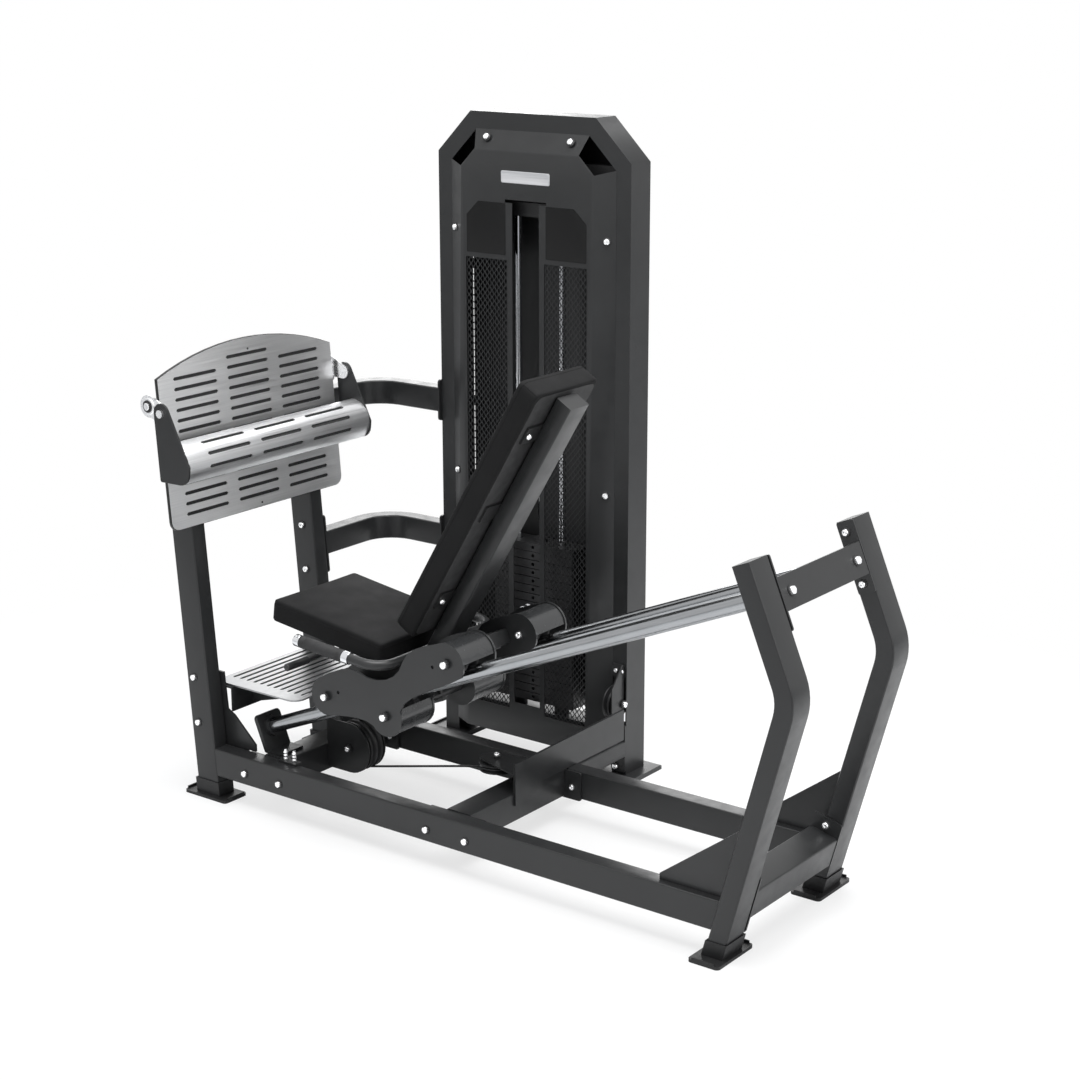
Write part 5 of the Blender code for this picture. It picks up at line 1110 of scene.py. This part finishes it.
for side, sign in SIDES:
    start, bend = (at(x, sign * HANDLE_Y, z) for x, z in (HANDLE_FRONT, HANDLE_BEND))
    way = (bend - start).normalized()
    sleeve(grips, start, way, outside, bore)
    turned(bright, start, way, front_cap)
    sleeve(bright, start, way, end_ring, bore)
for bm in (grips, bright):
    bmesh.ops.remove_doubles(bm, verts=bm.verts, dist=0.00001)
new_piece("hand_grips", grips, RUBBER_AND_PAINTED_SHADE, "sled", 60)
new_piece("grip_rings", bright, CHROME, "sled", 35)
print("grips:", round((GRIP_END - GRIP_START) * 1000), "mm long")

# %% [markdown]
# ## The weight stack
# Each plate has a hole for the selector pin in its front edge. The drawing only has the one
# that the pin is in, because eighteen holes add nothing to the motion; seen through the slot
# they do show. They are drilled into the merged copies by a Boolean. The hanger above the top
# plate is a small punched strap, and it is bright where the plates are painted, so its faces
# get a second material by their height.

# %% Pin holes and the hanger
STACK_Y = 0.584
STACK_FRONT_Y = STACK_Y - 0.0375
STACK_BOTTOM_Z = 0.160
PLATE_PITCH = 0.025
PINNED_PLATE, PLATE_COUNT = 11, 18
HOLE_RADIUS = 0.0052
HALF_PLATE = 0.1405
STEM_TOP_Z = 0.6465
JOINT_GAP = 0.0028
JOINT_DEEP = 0.0045


def plate_joint(number):
    return STACK_BOTTOM_Z + number * PLATE_PITCH


def dress_plates(name, numbers):
    """Pin holes in the middle of each plate and a groove at each joint, in the front edge."""
    bm = bmesh.new()
    for number in numbers:
        middle = plate_joint(number + 0.5)
        if number != PINNED_PLATE:
            turned(bm, at(TOWER_X, STACK_FRONT_Y, middle), Y_AXIS,
                   [(-0.004, HOLE_RADIUS), (0.022, HOLE_RADIUS)], 16)
        if number != numbers[0]:
            joint = plate_joint(number)
            block(bm, (TOWER_X - HALF_PLATE, STACK_FRONT_Y - 0.001, joint - JOINT_GAP / 2),
                  (TOWER_X + HALF_PLATE, STACK_FRONT_Y + JOINT_DEEP, joint + JOINT_GAP / 2))
    carve(skins[name], bm)


dress_plates("resting_plates", range(PINNED_PLATE))
dress_plates("lifted_plates", range(PINNED_PLATE, PLATE_COUNT))
dress_plates("top_plate", range(PLATE_COUNT, PLATE_COUNT + 1))
hanger_faces = second_finish("top_plate", CHROME, lambda face: face.center.z > STEM_TOP_Z)
print("pin holes:", PLATE_COUNT, "and bright faces of the hanger:", hanger_faces)

# %% [markdown]
# ## The back sheet
# Through the left window a thin dashed line of daylight shows: the flat sheet behind the stack
# is narrower than the opening and hangs on small ears, which leaves a slit along the tower's
# back lip. The drawing's sheet closes that slit, so a sheet with ears stands for it.

# %% A sheet on ears
BACK_LIP_Y = 0.637
SLIT = 0.0018
LIP_EDGE = 0.0485
EARS = (0.215, 0.60, 1.00, 1.40)
EAR_TALL = 0.030
TOWER_HALF, TOWER_TOP_HALF, TOWER_TOP_Z, TOWER_CORNER_Z = 0.3282, 0.2124, 1.838, 1.723


def moved_in(distance):
    """Half width, corner height, top half width and top height of the tower's outline moved in."""
    slope = math.atan2(TOWER_TOP_Z - TOWER_CORNER_Z, TOWER_HALF - TOWER_TOP_HALF)
    return (TOWER_HALF - distance, TOWER_CORNER_Z - distance * math.tan((math.pi / 2 - slope) / 2),
            TOWER_TOP_HALF - distance * math.tan(slope / 2), TOWER_TOP_Z - distance)


half, corner_z, top_half, top_z = moved_in(LIP_EDGE + SLIT)
ear = TOWER_HALF - 0.034
right_side = [(half, 0.165)]
for z in EARS:
    low, high = z - EAR_TALL / 2, z + EAR_TALL / 2
    right_side += [(half, low), (ear, low), (ear, high), (half, high)]
right_side += [(half, corner_z), (top_half, top_z)]
outline = [(TOWER_X + u, v) for u, v in right_side] + [(TOWER_X - u, v) for u, v in reversed(right_side)]
bm = bmesh.new()
flat_plate(bm, outline, (BACK_LIP_Y + 0.0003, BACK_LIP_Y + 0.0023), upright)
back_sheet = new_piece("back_sheet", bm, COAT, "frame")
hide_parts("back_cover")
bpy.data.objects.remove(skins.pop("back_cover"), do_unlink=True)

# %% [markdown]
# ## The steel rope
# One rope runs from the sled round the front pulley, along under the machine, round the flat
# pulley and up the tower to the stack. It is taut, so it is no loose cord: most of it stays
# put, and only two stretches change. Each of those is drawn straight between its two ends as
# they stand now, and rides on no body.

# %% The rope's route
ROPE_RADIUS = 0.003
ROPE_Y = 0.0105
ROPE_LOW_Z = 0.177
FRONT_PULLEY, FRONT_RADIUS = (0.324, 0.148), 0.066
TOWER_ROPE_X = TOWER_X + TOWER_HALF - 0.0327
MID_PULLEY, MID_RADIUS = (TOWER_ROPE_X - 0.042, ROPE_Y + 0.042), 0.042
TOWER_PULLEY, TOWER_RADIUS = (STACK_Y - 0.044, ROPE_LOW_Z + 0.044), 0.044
TOP_RADIUS, TOP_PULLEY_Z = 0.045, 1.655
TOP_PULLEYS = ((TOWER_ROPE_X - 0.045, 0, 90), (TOWER_X + 0.045, 90, 180))
JOIN_Z = 1.635
STRAP_TOP_Z = 0.7498
SLED_ANCHOR = (-0.300, -0.0594)


def even_steps(start, end, count):
    return [start.lerp(end, i / count) for i in range(count + 1)]


def fixed_route():
    """The rope's centre line from where it meets the front pulley to the last one."""
    goal = (MID_PULLEY[0] - 0.040, ROPE_LOW_Z)
    reach = math.dist(goal, FRONT_PULLEY)
    rise = (math.atan2(goal[1] - FRONT_PULLEY[1], goal[0] - FRONT_PULLEY[0])
            + math.asin(FRONT_RADIUS / reach))
    wrap = arc(FRONT_PULLEY, FRONT_RADIUS, 90 + math.degrees(RAIL_TILT), 270 + math.degrees(rise), 40)
    points = [at(u, ROPE_Y, v) for u, v in wrap]
    before = at(goal[0] - 0.070, ROPE_Y, goal[1] - 0.070 * math.tan(rise))
    knee, level = at(goal[0], ROPE_Y, goal[1]), at(goal[0] + 0.016, ROPE_Y, goal[1])
    points += [before.lerp(knee, t).lerp(knee.lerp(level, t), t) for t in (i / 8 for i in range(9))]
    points += [at(u, v, ROPE_LOW_Z) for u, v in arc(MID_PULLEY, MID_RADIUS, -90, 0, 16)]
    points += [at(TOWER_ROPE_X, u, v) for u, v in arc(TOWER_PULLEY, TOWER_RADIUS, -90, 0, 16)]
    for x, first, last in TOP_PULLEYS:
        points += [at(u, STACK_Y, v) for u, v in arc((x, TOP_PULLEY_Z), TOP_RADIUS, first, last, 16)]
    return points + [at(TOWER_X, STACK_Y, JOIN_Z)]


def rope(name, points, body):
    bm = bmesh.new()
    bent_bar(bm, points, ROPE_RADIUS, 12)
    return new_piece(name, bm, SHEATH, body, 70)


route = fixed_route()
run = rope("rope_run", route, "frame")
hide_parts("cable")
anchor = on_rail(SLED_ANCHOR[0], ROPE_Y, SLED_ANCHOR[1])
strap = at(TOWER_X, STACK_Y, STRAP_TOP_Z)
sled_rope = rope("rope_to_sled", even_steps(route[0], anchor, 24), None)
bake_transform(sled_rope)
stack_rope = rope("rope_to_stack", even_steps(route[-1], strap, 24), None)
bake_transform(stack_rope)
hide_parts("stack_cable")
print("rope:", round(sum((b - a).length for a, b in zip(route, route[1:])), 2), "m between its moving ends")

# %% The rope's ends
ENDS = (("sled", anchor, -RAIL_AXIS, [(0.0003, 0.0048), (0.016, 0.0048), (0.019, 0.0036), (0.030, 0.0033)]),
        ("stack", strap, Z_AXIS, [(0.0003, 0.0055), (0.020, 0.0055), (0.024, 0.0040), (0.036, 0.0034)]))
for body, place, way, profile in ENDS:
    bm = bmesh.new()
    turned(bm, place, way, profile, 20)
    new_piece("rope_end_" + body, bm, ZINC, body, 35)

# %% [markdown]
# ## The tube behind the back pad
# A second look at the picture shows this tube lying flat: wide towards the back and shallow
# from the side. The drawing has it on edge. The merged copy loses the tube's visible part, and
# a piece with the right section takes its place, with softly rounded corners as on drawn tube.

# %% A flat tube, dark straps
STRAP_FRONT, STRAP_HALF = -0.0640, 0.1005
BEHIND = -0.0704
TUBE_FRONT = -0.0690
TUBE_DEEP = 0.048
TUBE_SIDES = (-0.044, 0.034)
TUBE_TOP = 0.789
TUBE_CORNER = 0.004


def on_strap(face):
    depth = (face.center - on_back(0, 0, 0)).dot(BACK_OUT)
    return BEHIND - 0.0006 < depth < STRAP_FRONT and abs(face.center.y - SHIFT.y) < STRAP_HALF


bm = bmesh.new()
block(bm, (0.0, -0.0262, -0.170), (0.830, 0.0262, BEHIND), on_back)
carve(skins["sled_frame"], bm)
print("strap faces:", second_finish("sled_frame", DARK_COAT, on_strap))
section = round_corners(rectangle(TUBE_SIDES[0], TUBE_FRONT - TUBE_DEEP, TUBE_SIDES[1], TUBE_FRONT),
                        TUBE_CORNER, 4)
bm = bmesh.new()
ring_skin(bm, [[on_back(u, y, v) for y, v in section] for u in (-0.060, TUBE_TOP)])
new_piece("back_tube", bm, COAT, "sled")

# %% [markdown]
# ## Cushions
# Seat and back are foam under vinyl, stapled to a board. The foam pushes the vinyl out into a
# low crown, while the sewn edge along the top holds it in. A box with round edges would be
# quicker, but it stays dead flat. So an evenly divided box, drawn a little too small and with
# sides that pull in between the corners, is blown up as a cloth: its underside is pinned to the
# board, its sewn edge gives only a little, and no point may move more than a few millimetres.
# The seams are thinner than the cloth's cells, so they are laid on afterwards as thin beads.

# %% The pad before it is filled
CELL = 0.006
PAD_SHRINK = 0.001
PAD_EDGE = 0.005
PULLED_IN = 0.002
SEWN_EDGE_HOLDS = 0.97
SEWN_BAND = 0.0085
BOARD_SUNK = 0.001


def divided_box(half, corner, edge, cell):
    """A padded board around the origin, and its points by their grid place. Seen from above its
    corners have the radius corner; its upper and lower edges have the radius edge."""
    bm = bmesh.new()
    counts = [round(2 * h / cell) for h in half]
    grid = {}

    def point(*steps):
        if steps not in grid:
            x, y, z = (h * (2 * step / count - 1) for h, step, count in zip(half, steps, counts))
            core = Vector([max(corner - h, min(h - corner, c)) for h, c in zip(half[:2], (x, y))])
            out = Vector((x, y)) - core
            reach = max(abs(out.x), abs(out.y))
            if reach:
                level = max(edge - half[2], min(half[2] - edge, z))
                bend = Vector((max(0.0, reach - corner + edge), z - level))
                if bend.length > edge:
                    bend *= edge / bend.length
                reach = min(reach, corner - edge) + bend.x
                z = level + bend.y
                x, y = core + out.normalized() * reach
            x -= PULLED_IN * x / half[0] * (1 - (y / half[1]) ** 2)
            y -= PULLED_IN * y / half[1] * (1 - (x / half[0]) ** 2)
            grid[steps] = bm.verts.new((x, y, z))
        return grid[steps]

    for axis in range(3):
        a, b = (other for other in range(3) if other != axis)
        for level in (0, counts[axis]):
            for i in range(counts[a]):
                for j in range(counts[b]):
                    corners = []
                    for across, along in ((i, j), (i + 1, j), (i + 1, j + 1), (i, j + 1)):
                        steps = [level] * 3
                        steps[a], steps[b] = across, along
                        corners.append(point(*steps))
                    bm.faces.new(corners)
    bm.verts.index_update()
    return bm, {steps: vert.index for steps, vert in grid.items()}, counts


def seam_lines(grid, counts):
    """Indices of the points under the sewn edge, all round, and under the four corner seams."""
    nu, ny, nv = counts
    level = nv - 2
    ring = ([(i, 0, level) for i in range(nu)] + [(nu, j, level) for j in range(ny)]
            + [(i, ny, level) for i in range(nu, 0, -1)] + [(0, j, level) for j in range(ny, 0, -1)])
    corners = [[(i, j, k) for k in range(1, level + 1)] for i in (0, nu) for j in (0, ny)]
    return [grid[steps] for steps in ring], [[grid[steps] for steps in line] for line in corners]


# %% Fill the pad
PRESSURE = 4.0
FRAMES = 20
FILL_CAP = 0.0045


def blown_up(mesh, holds):
    """Fill a closed mesh with air as a cloth; holds says how firmly each point is kept."""
    pad = link(bpy.data.objects.new("filling", mesh))
    group = pad.vertex_groups.new(name="held")
    for index, weight in enumerate(holds):
        group.add([index], weight, "REPLACE")
    cloth = pad.modifiers.new("cloth", "CLOTH")
    cloth.settings.use_pressure = True
    cloth.settings.uniform_pressure_force = PRESSURE
    cloth.settings.effector_weights.gravity = 0
    cloth.settings.vertex_group_mass = "held"
    cloth.point_cache.frame_start, cloth.point_cache.frame_end = 1, FRAMES
    for step in range(1, FRAMES + 1):
        bpy.context.scene.frame_set(step)
    filled = evaluated_mesh(pad)
    bpy.data.objects.remove(pad, do_unlink=True)
    bpy.context.scene.frame_set(1)
    return [vertex.co.copy() for vertex in filled.vertices]


# %% A cushion
BEAD, BEAD_SIDES = 0.0009, 6
BOARD_INSET, BOARD_THICK = 0.012, 0.006
SEAT_RISE = 0.004


def cushion(name, node, lay, length, half_width, thick, corner):
    """A filled pad with its seams and its board, placed by a leaning frame."""
    half = [length / 2 - PAD_SHRINK, half_width - PAD_SHRINK, (thick - PAD_SHRINK - BOARD_SUNK) / 2]
    bm, grid, counts = divided_box(half, corner, PAD_EDGE, CELL)
    mesh = take_mesh(name, bm)
    ring, corners = seam_lines(grid, counts)
    holds = [1.0 if vertex.co.z < PAD_EDGE * 0.5 - half[2] else 0.0 for vertex in mesh.vertices]
    for vertex in mesh.vertices:
        depth = max(abs(vertex.co.x) - half[0], abs(vertex.co.y) - half[1])
        if vertex.co.z > half[2] - SEWN_BAND and depth > -SEWN_BAND:
            holds[vertex.index] = SEWN_EDGE_HOLDS
    places = blown_up(mesh.copy(), holds)
    middle = Vector((length / 2, 0, -PAD_SHRINK - half[2]))
    for vertex, place in zip(mesh.vertices, places):
        moved = place - vertex.co
        if moved.length > 1e-7:
            moved *= FILL_CAP * math.tanh(moved.length / FILL_CAP) / moved.length
        vertex.co = lay(*(vertex.co + moved + middle))
    for face in mesh.polygons:
        face.use_smooth = True
    mesh.materials.append(VINYL)
    beads = bmesh.new()
    for line in [ring] + corners:
        bent_bar(beads, [mesh.vertices[index].co.copy() for index in line], BEAD, BEAD_SIDES, line is ring)
    bmesh.ops.remove_doubles(beads, verts=beads.verts, dist=0.000001)
    pad = link(bpy.data.objects.new(name, mesh))
    smooth = pad.modifiers.new("smooth", "SUBSURF")
    smooth.levels = smooth.render_levels = 1
    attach(pad, "sled")
    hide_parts(node)
    new_piece(name + "_seams", beads, VINYL, "sled", 80)
    board = bmesh.new()
    outline = round_corners(rectangle(BOARD_INSET, BOARD_INSET - half_width, length - BOARD_INSET,
                                      half_width - BOARD_INSET), corner)
    flat_plate(board, outline, (-thick, -thick + BOARD_THICK), lay)
    new_piece(name + "_board", board, RUBBER_AND_PAINTED_SHADE, "sled")
    print(name, len(mesh.polygons), "faces, crown",
          round(max(place.z for place in places) * 1000 - half[2] * 1000, 1), "mm before the cap")
    return pad


cushion("seat_cushion", "seat_pad", lambda u, y, w: on_seat(u, y, w + SEAT_RISE),
        0.391, 0.165, 0.060 + SEAT_RISE, 0.012)
cushion("back_cushion", "back_pad", on_back, 0.811, 0.131, 0.064, 0.020)

# %% [markdown]
# ## The end
# The view layer is brought up to date.

# %% The end
bpy.context.view_layer.update()
